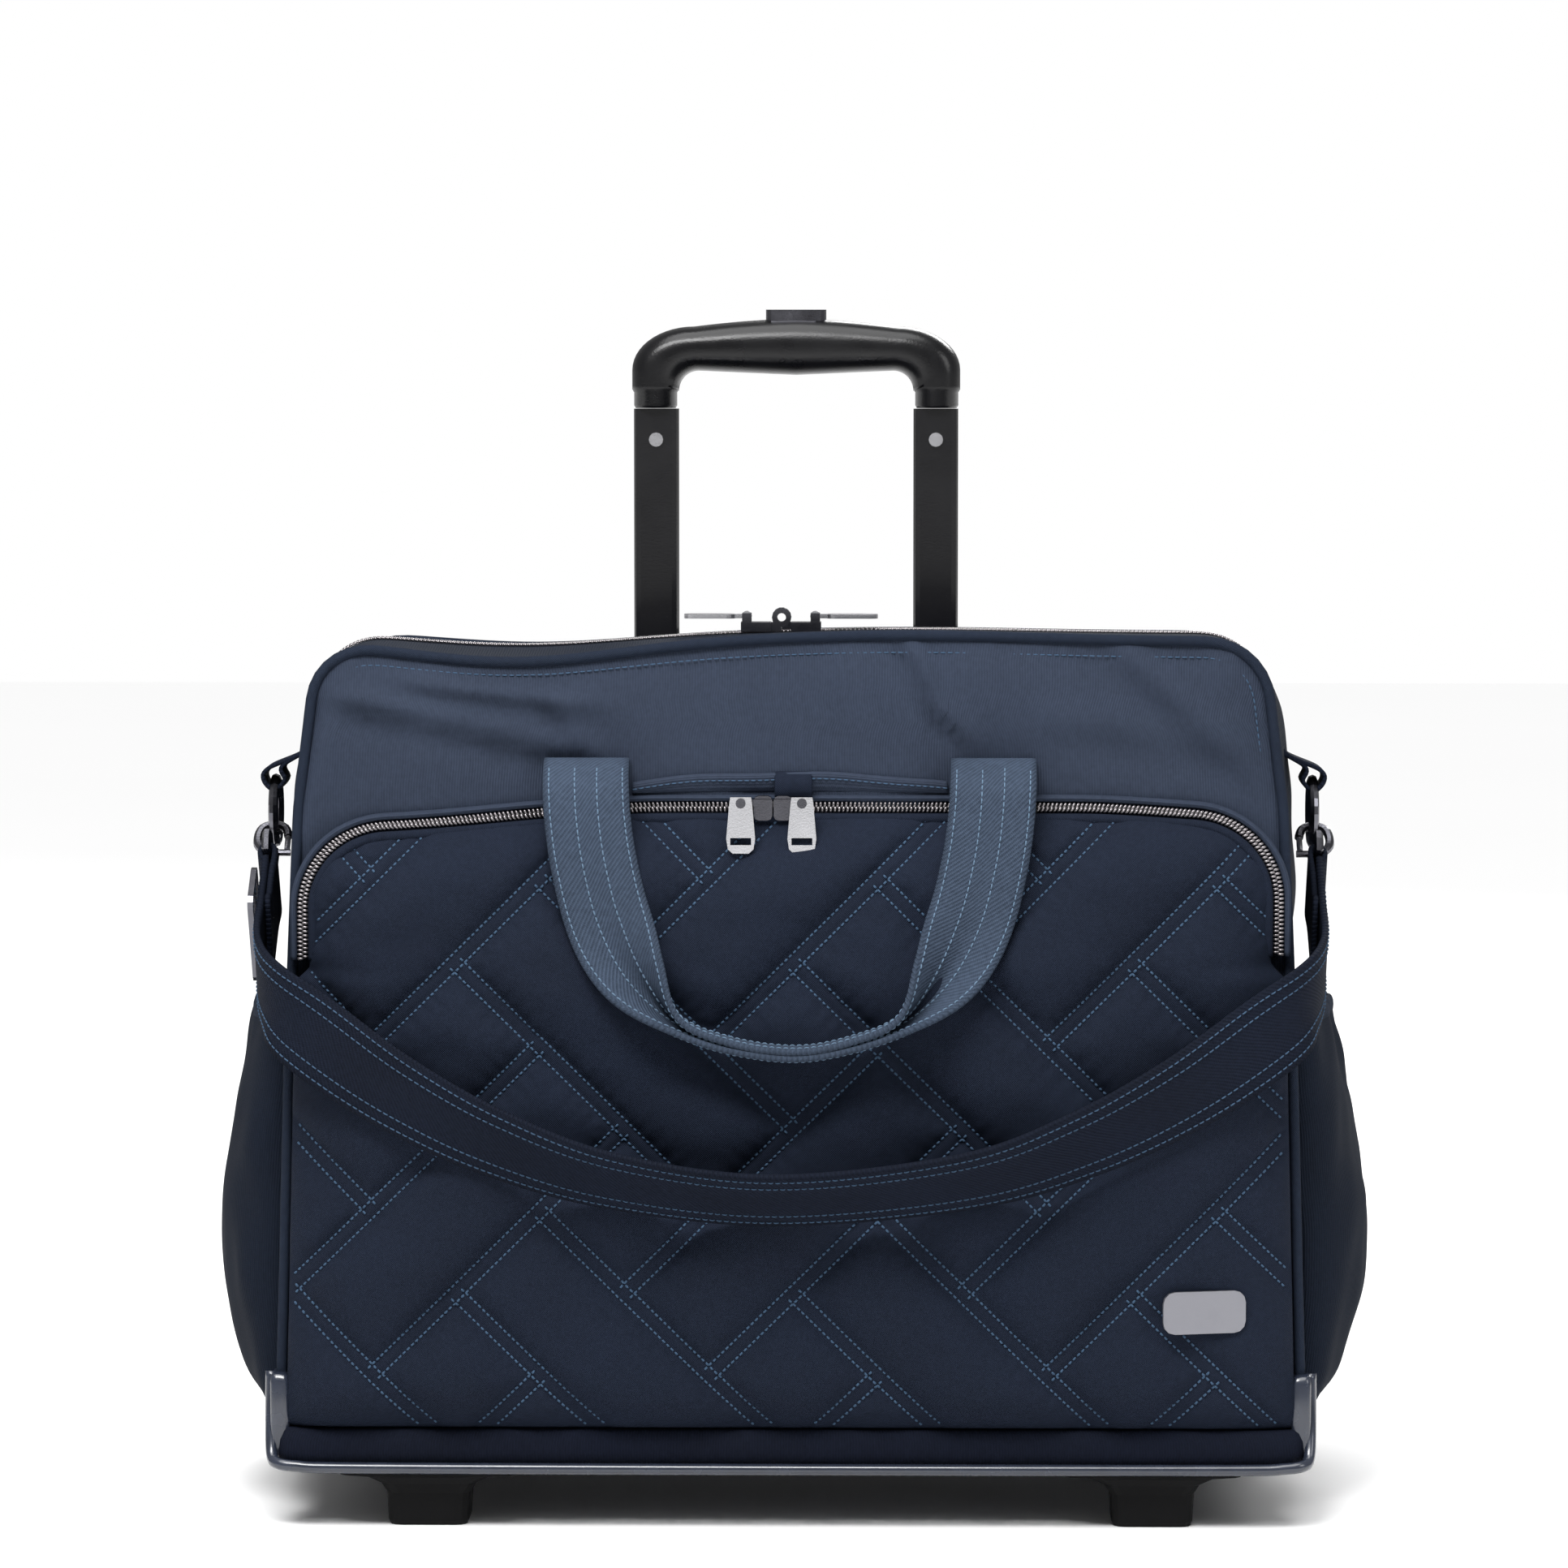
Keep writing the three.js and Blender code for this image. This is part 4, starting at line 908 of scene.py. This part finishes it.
class Quilt:
    """Height of the quilted face over X and Z: a sheet sewn down at its seams and pushed out between."""

    def __init__(self, step=1.25):
        self.step = step
        self.x = np.arange(PAD_LO[0] - 4, PAD_HI[0] + 4, step)
        self.z = np.arange(PAD_LO[2] - 4, PAD_HI[2] + 4, step)
        self.segments = channels()
        xx, zz = np.meshgrid(self.x, self.z)
        flat = np.stack([xx.ravel(), zz.ravel()], -1)
        flat_z = level(xx, zz)
        steps = np.arange(PAD_LO[2], PAD_HI[2] + 1, 0.5)
        half = np.interp(flat_z, steps, [pad_half(z) for z in steps])
        self.inside = (np.abs(xx) < half) & (zz > PAD_LO[2]) & (flat_z < PAD_HI[2])
        distance, along = to_segments(flat, self.segments)
        order = np.argsort(distance, axis=1)[:, :2]
        near = np.take_along_axis(distance, order, 1)
        near_along = np.take_along_axis(along, order, 1)[:, 0]
        row = np.abs(near[:, 0] - STITCH_OFFSET) < 0.9
        pinned = (row & (near[:, 1] > STITCH_OFFSET - 0.2)).reshape(xx.shape)
        free = self.inside & ~pinned
        height = self.inflate(free)
        pucker = np.sin(near_along * 2 * math.pi / 7.3 + order[:, 0] * 1.7 + np.sin(near_along / 5))
        fade = np.exp(-np.maximum(near[:, 0] - STITCH_OFFSET, 0) / 4.5) * (near[:, 0] > STITCH_OFFSET)
        height = height + 0.55 * (pucker * fade).reshape(xx.shape) * (height > 0.05)
        place = np.stack([xx, np.zeros_like(xx), zz], -1)
        height *= 1 + 0.16 * Waves(33, 90)(place)
        height += 0.22 * Waves(31, 26)(place) * np.clip(height / 2, 0, 1)
        self.height = height

    def inflate(self, free):
        """Solves for the shape that pressure gives a thin sheet pinned wherever it isn't free."""
        h = np.zeros(free.shape)
        pull = (self.step / QUILT_REACH) ** 2
        for _ in range(420):
            around = np.zeros_like(h)
            around[1:-1, 1:-1] = h[:-2, 1:-1] + h[2:, 1:-1] + h[1:-1, :-2] + h[1:-1, 2:]
            h = np.where(free, (around + pull) / (4 + pull), 0)
        return QUILT_PUFF * (h / h.max()) ** 0.72

    def at(self, x, z):
        """Height at points, by linear interpolation."""
        fx = np.clip((x - self.x[0]) / self.step, 0, len(self.x) - 1.001)
        fz = np.clip((z - self.z[0]) / self.step, 0, len(self.z) - 1.001)
        i, j = fx.astype(int), fz.astype(int)
        u, v = fx - i, fz - j
        h = self.height
        return ((h[j, i] * (1 - u) + h[j, i + 1] * u) * (1 - v)
                + (h[j + 1, i] * (1 - u) + h[j + 1, i + 1] * u) * v)


def pad_depth(x, z):
    """How far the pad's seams stand in front of its back edge: steep at the rim and flat in the middle."""
    half = np.vectorize(pad_half)(z)
    side = half - np.abs(x)
    top = PAD_HI[2] - z
    low = (z - PAD_LO[2]) * 1.6 + 3
    inset = -6 * np.log(np.exp(-side / 6) + np.exp(-top / 6) + np.exp(-low / 6))
    return 17.5 * (1 - np.exp(-np.maximum(inset + 2.0, 0) / 20))


def pad_point(quilt, x, z, lift=0.0):
    """Points on the quilted face, flatter where the badge and the pulls lie."""
    held = np.maximum(0.85 * hill(x, 177, 30) * hill(z, 95, 20), 0.8 * hill(x, -8, 30) * hill(z, 298, 18))
    place = sunk(x, z)
    y = PAD_BACK - pad_depth(x, z) - quilt.at(x, place) * (1 - held) - lift
    return np.stack([x, y, place], -1)


def build_pad():
    """The quilted face of the front pocket and its stitches."""
    quilt = Quilt()
    rows = np.arange(PAD_LO[2], PAD_HI[2], 1.3)
    arc = PAD_HI[2] - 32 * (1 - np.sin(np.linspace(0, math.pi / 2, 20)))
    rows = np.unique(np.round(np.concatenate([rows, arc]), 2))
    rows = rows[np.concatenate([[True], np.diff(rows) > 0.3])]
    rows[-1] = PAD_HI[2]
    t = np.linspace(-1, 1, 330)
    half = np.array([pad_half(z) for z in rows])
    x = half[:, None] * t[None]
    z = np.repeat(rows[:, None], len(t), 1)
    face = pad_point(quilt, x, z)
    uv = np.stack([x, z], -1).reshape(-1, 2)
    obj = close_panel("front_pocket_quilt", face, uv, PAD_BACK + 6.4)
    piece(obj, QUILT_CLOTH, nodes=("front_pocket_pad",))
    piece(threads("quilt_stitches", quilt_marks(quilt), 1.8, 0.55), DARK_THREAD)


def close_panel(name, face, uv, back_y):
    """Closes a front face with side walls and a flat back at one depth."""
    rows, cols = face.shape[:2]
    index = np.arange(rows * cols).reshape(rows, cols)
    rim = np.concatenate([index[0, :-1], index[:-1, -1], index[-1, :0:-1], index[:0:-1, 0]])
    points = face.reshape(-1, 3)
    wall = points[rim].copy()
    wall[:, 1] = back_y
    n = len(points)
    m = len(rim)
    faces = grid_faces(rows, cols).tolist()
    for i in range(m):
        j = (i + 1) % m
        faces.append([rim[i], n + i, n + j, rim[j]])
    faces.append([n + i for i in range(m)][::-1])
    return make_object(name, np.vstack([points, wall]), faces, np.vstack([uv, uv[rim]]))


def quilt_marks(quilt):
    """Stitches on both sides of each channel, left out where another channel crosses."""
    marks = []
    for a, b in quilt.segments:
        along = unit(b - a)
        across = np.array([-along[1], along[0]])
        size = np.linalg.norm(b - a)
        for side in (-1, 1):
            s = np.arange(1.25, size, 2.5)
            p = a + s[:, None] * along + side * STITCH_OFFSET * across
            distance = np.sort(to_segments(p, quilt.segments)[0], axis=1)
            ok = distance[:, 1] > STITCH_OFFSET - 0.1
            p[:, 1] = level(p[:, 0], p[:, 1])
            half = np.array([pad_half(min(z, PAD_HI[2])) for z in p[:, 1]])
            ok &= (np.abs(p[:, 0]) < half - 2.5) & (p[:, 1] > PAD_LO[2] + 2) & (p[:, 1] < PAD_HI[2] - 2)
            p = p[ok]
            if not len(p):
                continue
            step = along * 0.8
            here = pad_point(quilt, p[:, 0], p[:, 1], 0.12)
            ahead = pad_point(quilt, p[:, 0] + step[0], p[:, 1] + step[1], 0.12)
            behind = pad_point(quilt, p[:, 0] - step[0], p[:, 1] - step[1], 0.12)
            marks.append(np.concatenate([here, ahead - behind, forward(len(p))], 1))
    return np.vstack(marks)


def zip_teeth(name, line, across, out, side):
    """One half of a coil zip: rounded loops that reach from the tape to just past the middle."""
    pitch, width = 1.8, 2.5
    run = lengths(line)
    start = pitch * (0.25 if side > 0 else 0.75)
    places = np.arange(start, run[-1], pitch)
    centre, reach, normal = [sample(places, run, a) for a in (line, across, out)]
    centre = centre + reach * side * width * 0.42
    return threads(name, np.concatenate([centre, reach, normal], 1), width * 1.15, 0.62, 6, 0.3)


def build_pocket_zip():
    """The zip round the front pocket, with the hem outside it and the piping inside it."""
    profile = ((-0.4, 5.5), (-0.4, 0.2), (0.4, -0.2), (5.2, -0.2), (5.9, 0.2), (5.9, 5.5))
    tape = pocket_sweep("pocket_zip_tape", [(inset, PAD_BACK + y) for inset, y in profile])
    piece(tape, TAPE_CLOTH, nodes=("front_pocket_gusset",))
    centre = pocket_line(CHAIN / 2)
    outer = pocket_line(CHAIN / 2 - 1)
    line = at_depth(centre, PAD_BACK - 0.9)
    across = at_depth(unit(outer - centre), 0)
    out = forward(len(line))
    for side, name in ((1, "outer"), (-1, "inner")):
        teeth = zip_teeth("pocket_zip_teeth_" + name, line, across, out, side)
        piece(teeth, TEETH, nodes=("pocket_zip_chain",))
    lip = pocket_sweep("pocket_zip_hem", ellipse(-1.2, PAD_BACK + 0.4, 1.5, 3.0))
    piece(lip, BODY_CLOTH)
    cord = pocket_sweep("pocket_piping_cord", ellipse(7.4, PAD_BACK - 2.2, 2.3, 2.3))
    piece(cord, QUILT_CLOTH)


def build_hem():
    """The folded hem that hoods the middle of the pocket's zip, with the small loop at its centre."""
    x = np.linspace(-67, 67, 90)
    top = 321.5 - 4.2 * (np.abs(x) / 67) ** 2.2 + 0.4 * np.sin(x / 9)
    rings = []
    foot = POCKET_TOP + 3
    for px, z in zip(x, top):
        section = ((5.6, z + 1.2), (9.6, z + 0.8), (10.2, z - 0.6), (9.4, z - 4), (7.6, foot), (4, foot))
        rings.append([(px, FRONT_Y - proud, pz) for proud, pz in section])
    hem = closed_tube("pocket_hem_cloth", np.array(rings))
    subdivide(hem)
    piece(hem, BODY_CLOTH)
    line = at_depth(np.stack([x, top - 2.2], -1), FRONT_Y - 10.1)
    marks = stitch_marks(line, forward(len(x)), 2.8)
    piece(threads("pocket_hem_stitches", marks, 2.0, 0.34), DARK_THREAD)
    loop = ((8, 322), (11.4, 319), (12, 315), (11, 312))
    stations = [(1.5, FRONT_Y - proud, z, 1, 0, 0, 17.0, 0) for proud, z in loop]
    obj = ribbon("pocket_hem_tab", stations, 16, 1.4)[0]
    piece(obj, QUILT_CLOTH)


def build_main_zip():
    """The zip over the top: one coil and tape on the bag, and one on the flap."""
    points = SHELL_POINTS[TOP_FROM:TOP_TO]
    normals = SHELL_NORMALS[TOP_FROM:TOP_TO]
    points = points + np.stack([np.zeros(len(points)), crown_at(points[:, 0], points[:, 1], ZIP_Y)], -1)
    line = at_depth(points + normals * 0.4, ZIP_Y)
    out = at_depth(normals, 0)
    across = forward(len(line))
    for side, body, node in ((1, "bag", "main_zip_teeth_front"), (-1, "flap", "main_zip_teeth_rear")):
        teeth = zip_teeth(node + "_coil", line, across, out, side)
        piece(teeth, TEETH, body, (node,))
        y0, y1 = (STRIP_BACK - 0.6, ZIP_Y - 0.2) if side > 0 else (ZIP_Y + 0.2, FLAP_FRONT + 0.6)
        low = points - normals * 0.9
        high = points - normals * 0.3
        rings = np.stack([at_depth(e, y) for e, y in ((low, y0), (high, y0), (high, y1), (low, y1))], 1)
        piece(closed_tube(node + "_tape", rings), TAPE_CLOTH, body)


# ---------------------------------------------------------------- webbing
FOLD_STARTS = 0.05


def ribbon(name, stations, count, thick, columns=9, front=None):
    """A flat or half-folded band, and its sections.

    Each station is a centre, a direction across, a width and a fold angle in radians. At a fold, both
    halves turn to the front side, about the middle of the band.
    """
    line = smooth_line(stations, count)
    centre, width, fold = line[:, :3], line[:, 6], line[:, 7]
    along = unit(np.gradient(centre, axis=0))
    s = np.linspace(-0.5, 0.5, columns)
    last = line[0, 3:6]
    rings = []
    for i, t in enumerate(along):
        w = line[i, 3:6]
        if front is not None:
            w = np.cross(front, t) if fold[i] >= FOLD_STARTS else np.array([1.0, 0, 0])
        w = unit(w - (w @ t) * t)
        if w @ last < 0:
            w = -w
        last = w
        out = np.cross(t, w)
        run = s * width[i]
        reach = np.sqrt(run ** 2 + 1.2) - math.sqrt(1.2)
        gap = (thick / 2 + 0.12) * math.sin(fold[i])
        a = np.sign(run) * (np.minimum(np.abs(run) * 2, gap) + reach * math.cos(fold[i]))
        b = reach * math.sin(fold[i])
        if fold[i] > FOLD_STARTS and out @ front < 0:
            b = -b
        section = np.stack([a, b], -1)
        d = unit(np.gradient(section, axis=0))
        normal = np.stack([-d[:, 1], d[:, 0]], -1)
        top = section + normal * thick / 2
        low = section - normal * thick / 2
        ring = np.vstack([section[:1] - d[:1] * 0.5, top, section[-1:] + d[-1:] * 0.5, low[::-1]])
        rings.append(centre[i] + ring[:, :1] * w + ring[:, 1:] * out)
    rings = np.array(rings)
    u = np.concatenate([[s[0] - 0.01], s, [s[-1] + 0.01], s[::-1]])
    run = lengths(centre)
    uv = np.stack([u[None] * width[:, None], np.repeat(run[:, None], len(u), 1)], -1)
    return closed_tube(name, rings, uv.reshape(-1, 2)), rings


def ribbon_marks(rings, places, pitch, face=1, from_share=0.0, to_share=1.0):
    """Stitch marks on a band's face side (1) or its back side (-1), at places from -0.5 to 0.5."""
    cols = (rings.shape[1] - 2) // 2
    grid = rings[:, 1:cols + 1] if face > 0 else rings[:, cols + 2:][:, ::-1]
    n = len(grid)
    grid = grid[int(n * from_share):max(int(n * to_share), 2)]
    marks = []
    spots = np.linspace(-0.5, 0.5, cols)
    for place in places:
        k = min(int(np.searchsorted(spots, place)), cols - 1)
        f = (place - spots[k - 1]) / (spots[k] - spots[k - 1])
        line = grid[:, k - 1] * (1 - f) + grid[:, k] * f
        side = unit(grid[:, k] - grid[:, k - 1])
        along = unit(np.gradient(line, axis=0))
        normal = np.cross(side, along) if face < 0 else np.cross(along, side)
        marks.append(stitch_marks(line + normal * 0.1, normal, pitch, 1))
    return np.vstack(marks)


def mirrored(stations):
    """Adds the other half of a band whose last station is in the middle."""
    other = [(-s[0], s[1], s[2], -s[3], s[4], s[5], s[6], s[7]) for s in stations[:-1]]
    return list(stations) + other[::-1]


def build_handles():
    """Both carry handles: straps that fold in half along the grip, with four rows of stitches."""
    front_lo = box_mm("front_carry_handle")[0]
    grip_z = front_lo[2] + 3.2
    front = [(-86, -78.2, 318, 0), (-86, -83.4, 327, 0), (-85.8, -98, 318, 0), (-84.8, -101.8, 303, 0),
             (-82, -102.6, 284, 0.03), (-76, -103, 261, 0.16), (-65, -104, 238, 0.75),
             (-48, -105.3, 219, 1.45), (-25, -106.4, grip_z + 3.6, 1.56), (2, -106.6, grip_z, 1.57)]
    rear = [(-87, 113.7, 318, 0), (-87, 119.4, 326, 0), (-86.8, 121, 314, 0), (-86, 120.6, 300, 0),
            (-83, 120.2, 284, 0.03), (-76, 119.8, 261, 0.16), (-65, 119.6, 238, 0.75),
            (-48, 119.2, 219, 1.45), (-25, 118.9, grip_z + 3.6, 1.56), (2, 118.8, grip_z, 1.57)]
    rows = (-0.44, -0.15, 0.15, 0.44)
    for name, line, facing in (("front", front, (0, -1, 0)), ("rear", rear, (0, 1, 0))):
        stations = mirrored([(x, y, z, 1, 0, 0, WEB - 0.4, fold) for x, y, z, fold in line])
        obj, rings = ribbon(name + "_handle_webbing", stations, 200, WEB_THICK, 11, facing)
        body = name + "_handle"
        piece(obj, HANDLE_WEB, body, (name + "_carry_handle",))
        outside = ribbon_marks(rings, rows, 2.9, 1, 0.05, 0.95)
        inside = ribbon_marks(rings, rows, 2.9, -1, 0.2, 0.8)
        stitches = threads(name + "_handle_stitches", np.vstack([outside, inside]), 2.2, 0.36)
        piece(stitches, THREAD, body)


def build_strap():
    """The shoulder strap across the front."""
    half = [(-227, -24.9, 267.6, 0, -0.6, 0.8), (-227, -48, 252, 0, -0.58, 0.81),
            (-226, -76, 236, 0, -0.42, 0.9), (-217, -99, 225, 0.1, -0.25, 0.95),
            (-197, -110, 210, 0.5, -0.2, 0.8), (-165, -115.5, 189, 0.5, -0.38, 0.76),
            (-125, -118.5, 169, 0.32, -0.55, 0.76), (-75, -120.5, 153, 0.13, -0.7, 0.7)]
    middle = (-6, -121.5, 145, 0, -0.755, 0.656)
    left = [(*s, WEB, 0) for s in half]
    right = [(-x, y, z, -a, b, c, WEB, 0) for x, y, z, a, b, c in reversed(half)]
    stations = left + [(*middle, WEB, 0)] + right
    obj, rings = ribbon("shoulder_strap_webbing", stations, 260, WEB_THICK)
    piece(obj, STRAP_WEB, "strap", ("shoulder_strap",))
    rows = (-0.43, -0.3, 0.3, 0.43)
    marks = ribbon_marks(rings, rows, 3.0, 1, 0.02, 0.98)
    piece(threads("shoulder_strap_stitches", marks, 2.3, 0.34), DARK_THREAD, "strap")
    for side, sx in SIDES:
        build_hook_loop(side, sx)


def build_hook_loop(side, sx):
    """The strap's end, doubled round the snap hook's bar and sewn back on itself."""
    angle = math.radians(52)
    down = np.array([0, -math.sin(angle), -math.cos(angle)])
    ring = box_mm("strap_ring_" + side)
    centre = (ring[0] + ring[1]) / 2
    bar = centre + down * 45
    inner = np.array([-sx * 2.9, 0, 0])
    path = [bar + down * 5.5 - inner * 0.15, bar + down * 1.5 - inner * 0.9, bar - down * 3.6 - inner * 0.5,
            bar - down * 3.6 + inner * 0.9, bar + down * 2 + inner * 1.25, bar + down * 12 + inner * 1.05,
            bar + down * 30 + inner * 1.0, bar + np.array([sx * -0.6, -36, -21]) + inner]
    stations = [(*p, 0, -0.6, 0.8, WEB - 1.5, 0) for p in path]
    obj = ribbon("strap_loop_" + side, stations, 60, 2.2)[0]
    piece(obj, STRAP_WEB, "strap")


def build_tabs():
    """The sewn webbing tabs that hold the side rings."""
    for side, sx in SIDES:
        lo, hi = box_mm("strap_tab_" + side)
        near = lo[0] if sx > 0 else hi[0]
        ring_lo, ring_hi = box_mm("strap_ring_" + side)
        cx = (ring_lo[0] + ring_hi[0]) / 2
        cy = (lo[1] + hi[1]) / 2
        top = ring_hi[2] - 2.2
        path = [(near + sx * 1.5, hi[2] + 1), (near + sx * 4.5, hi[2] - 8), (cx + sx * 2.6, top + 5),
                (cx + sx * 4.6, top), (cx, top - 4.4), (cx - sx * 4.6, top), (cx - sx * 3.5, top + 6),
                (near + sx * 1.4, top + 14), (near + sx * 1.2, hi[2] + 1)]
        stations = [(x, cy, z, 0, 1, 0, 22.0, 0) for x, z in path]
        obj = ribbon("ring_tab_" + side, stations, 70, 1.8)[0]
        piece(obj, STRAP_WEB, "bag", ("strap_tab_" + side,))


# ---------------------------------------------------------------- side pockets
def build_side_pockets():
    """The slip pockets, gathered at the mouth."""
    levels = np.array([[46, 10], [62, 23], [95, 32], [127, 33.5], [170, 29], [218, 19]], float)
    for side, sx in SIDES:
        lo, hi = box_mm("side_pocket_" + side)
        cy = (lo[1] + hi[1]) / 2
        reach = (hi[1] - lo[1]) / 2
        z = np.linspace(lo[2], hi[2], 64)
        curve = smooth_line(np.column_stack([levels[:, 0], np.zeros(6), levels[:, 1]]), 200)
        depth = np.interp(z, curve[:, 0], curve[:, 2])
        a = np.linspace(0.02, math.pi - 0.02, 84)
        wall = np.array([panel_half(v) for v in z])
        out = depth[:, None] * np.sin(a)[None] ** 0.85 + 2.2
        grid = np.zeros((len(z), len(a), 3))
        grid[..., 0] = wall[:, None] + out
        grid[..., 1] = cy - reach * np.cos(a)[None]
        grid[..., 2] = z[:, None]
        wave = Waves(41 if sx < 0 else 43, 44)
        top = smoothstep(z, 150, 215)[:, None]
        gather = np.sin(grid[..., 1] / 3.4 + 2 * np.sin(grid[..., 1] / 17)) * top * 0.7
        soft = wave(grid * [1, 0.8, 0.6]) * 1.1
        fade = np.sin(a)[None] ** 0.5
        grid[..., 0] += (gather + soft) * fade - 1.2
        grid[..., 0] = np.minimum(grid[..., 0], hi[0] - 0.3 if sx > 0 else -lo[0] - 0.3)
        rim = grid[-1].copy()
        grid[..., 0] *= sx
        obj = surface("side_pocket_%s_cloth" % side, grid, flip=sx < 0)
        lined(obj, SIDE_CLOTH_PAINTED_SHADE, PANEL_THICK)
        piece(obj, SIDE_CLOTH_PAINTED_SHADE, nodes=("side_pocket_" + side,))
        rim[:, 0] = (rim[:, 0] - 0.6) * sx
        hem = hem_band("side_pocket_%s_hem" % side, rim)
        piece(hem, PIPING_CLOTH)


def hem_band(name, rim):
    """A folded binding over the top edge of a pocket."""
    tall = 9.0
    shape = ellipse(0, 0, 1.9, tall / 2)
    rings = []
    along = unit(np.gradient(rim, axis=0))
    for p, t in zip(rim, along):
        out = unit(np.cross(t, [0, 0, 1.0]))
        rings.append([p + out * a + np.array([0, 0, b - tall / 2 + 1.0]) for a, b in shape])
    return closed_tube(name, np.array(rings))


# ---------------------------------------------------------------- telescopic grip
GRIP_LEG = 21.0
GRIP_CORNER = 28.0
GRIP_FOLD = 9.0
GRIP_BAR = 25.2


def build_grip():
    """The moulded grip: an arch of rounded section with a short collar on each leg."""
    lo, hi = box_mm("trolley_grip")
    half, low, top = hi[0], lo[2], hi[2]
    cy, deep = (lo[1] + hi[1]) / 2, (hi[1] - lo[1]) / 2
    inner_half = half - GRIP_LEG
    a = np.linspace(0, math.pi / 2, 14)
    bend = np.stack([half - GRIP_CORNER + GRIP_CORNER * np.cos(a), top - 23 + 19.5 * np.sin(a)], -1)
    fold = np.stack([inner_half - GRIP_FOLD + GRIP_FOLD * np.cos(a), top - 32.3 + GRIP_FOLD * np.sin(a)], -1)
    heights = np.array([low + 0.1, low + 1.2, low + 7, low + 8.4, low + 10])
    outer = np.vstack([np.column_stack([np.full(5, half), heights]), bend])
    inner = np.vstack([np.column_stack([np.full(5, inner_half), heights]), fold])
    bar = np.linspace(0, 1, 12)[1:, None]
    arch = np.c_[bar * 0, 2.4 * bar * (1 - bar)]
    outer = np.vstack([outer, outer[-1] * (1 - bar) + np.array([0, top]) * bar + arch])
    inner = np.vstack([inner, inner[-1] * (1 - bar) + np.array([0, top - GRIP_BAR]) * bar])
    shrink = np.concatenate([[0.86, 0.92, 0.92, 1.0], np.ones(len(outer) - 4)])
    outer = np.vstack([outer, outer[-2::-1] * [-1, 1]])
    inner = np.vstack([inner, inner[-2::-1] * [-1, 1]])
    shrink = np.concatenate([shrink, shrink[-2::-1]])
    turn = np.linspace(0, 2 * math.pi, 40, endpoint=False)
    c, d = [np.sign(v) * np.abs(v) ** 0.82 for v in (np.cos(turn), np.sin(turn))]
    rings = []
    for o, i, size in zip(outer, inner, shrink):
        middle, reach = (o + i) / 2, (o - i) / 2 * size
        section = middle + reach * c[:, None]
        rings.append(np.stack([section[:, 0], cy + deep * size * d, section[:, 1]], -1))
    grip = closed_tube("trolley_grip_moulding", np.array(rings))
    piece(grip, PLASTIC, "upper_stage", ("trolley_grip",))


def build_bezel():
    """The plate that the tubes pass through, following the dip in the top, with a hole at each tube."""
    lo, hi = box_mm("tube_bezel")
    x = np.linspace(lo[0], hi[0], 60)
    tops = SHELL_TOP + crown_at(x, np.full(60, SHELL_TOP), lo[1]) - fall(SHELL_TOP, lo[1]) + 0.9
    foot = 356
    rings = [[(px, lo[1], foot), (px, lo[1], z - 1.4), (px, lo[1] + 1.4, z), (px, hi[1] - 1.4, z - 1.2),
              (px, hi[1], z - 2.6), (px, hi[1], foot)] for px, z in zip(x, tops)]
    bezel = closed_tube("tube_bezel_moulding", np.array(rings))
    for side, _ in SIDES:
        lo, hi = box_mm("outer_tube_" + side)
        cut_away(bezel, (lo[0] + 1, lo[1] + 1, 340), (hi[0] - 1, hi[1] - 1, 400))
    piece(bezel, PLASTIC, nodes=("tube_bezel",))


# ---------------------------------------------------------------- carried-over CAD parts
CARRIED = {
    "trolley_button": (GUNMETAL, 1.0), "tube_bracket": (PLASTIC, 0.5), "badge_plate": (SATIN, 0.4),
    "strap_slide": (GUNMETAL, 0.5),
    "wheel_housing": (PLASTIC, 1.4), "wheel_tyre": (RUBBER, 0.5), "wheel_hub": (HUB_PLASTIC, 0.6),
    "wheel_axle": (NICKEL, 0.4), "front_foot": (RUBBER, 1.2), "outer_tube": (TUBE_GLOSS, 0.2),
    "middle_tube": (TUBE_GLOSS, 0.2), "upper_tube": (TUBE_GLOSS, 0.2), "grip_fastener": (NICKEL, 0.35),
    "strap_ring": (GUNMETAL, 0), "strap_hook": (GUNMETAL, 0), "hook_gate": (NICKEL, 0),
    "main_slider": (GUNMETAL, 0.5), "main_pull": (NICKEL, 0.35), "pocket_slider": (GUNMETAL, 0.6),
    "pocket_pull": (NICKEL, 0.4),
}


def dress_cad():
    """Gives each CAD part that stays its material, smooth shading and broken edges."""
    for name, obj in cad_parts.items():
        kind = name.replace("_left", "").replace("_right", "")
        if kind not in CARRIED:
            continue
        material, width = CARRIED[kind]
        obj.data.materials.clear()
        obj.data.materials.append(material)
        obj.data.polygons.foreach_set("use_smooth", [True] * len(obj.data.polygons))
        if width:
            bevel(obj, width)
        sharp = obj.modifiers.new("normals", "WEIGHTED_NORMAL")
        sharp.keep_sharp = False


build_camera()
build_stage()
build_shell()
build_pad()
build_pocket_zip()
build_hem()
build_main_zip()
build_handles()
build_strap()
build_tabs()
build_side_pockets()
build_grip()
build_bezel()
dress_cad()
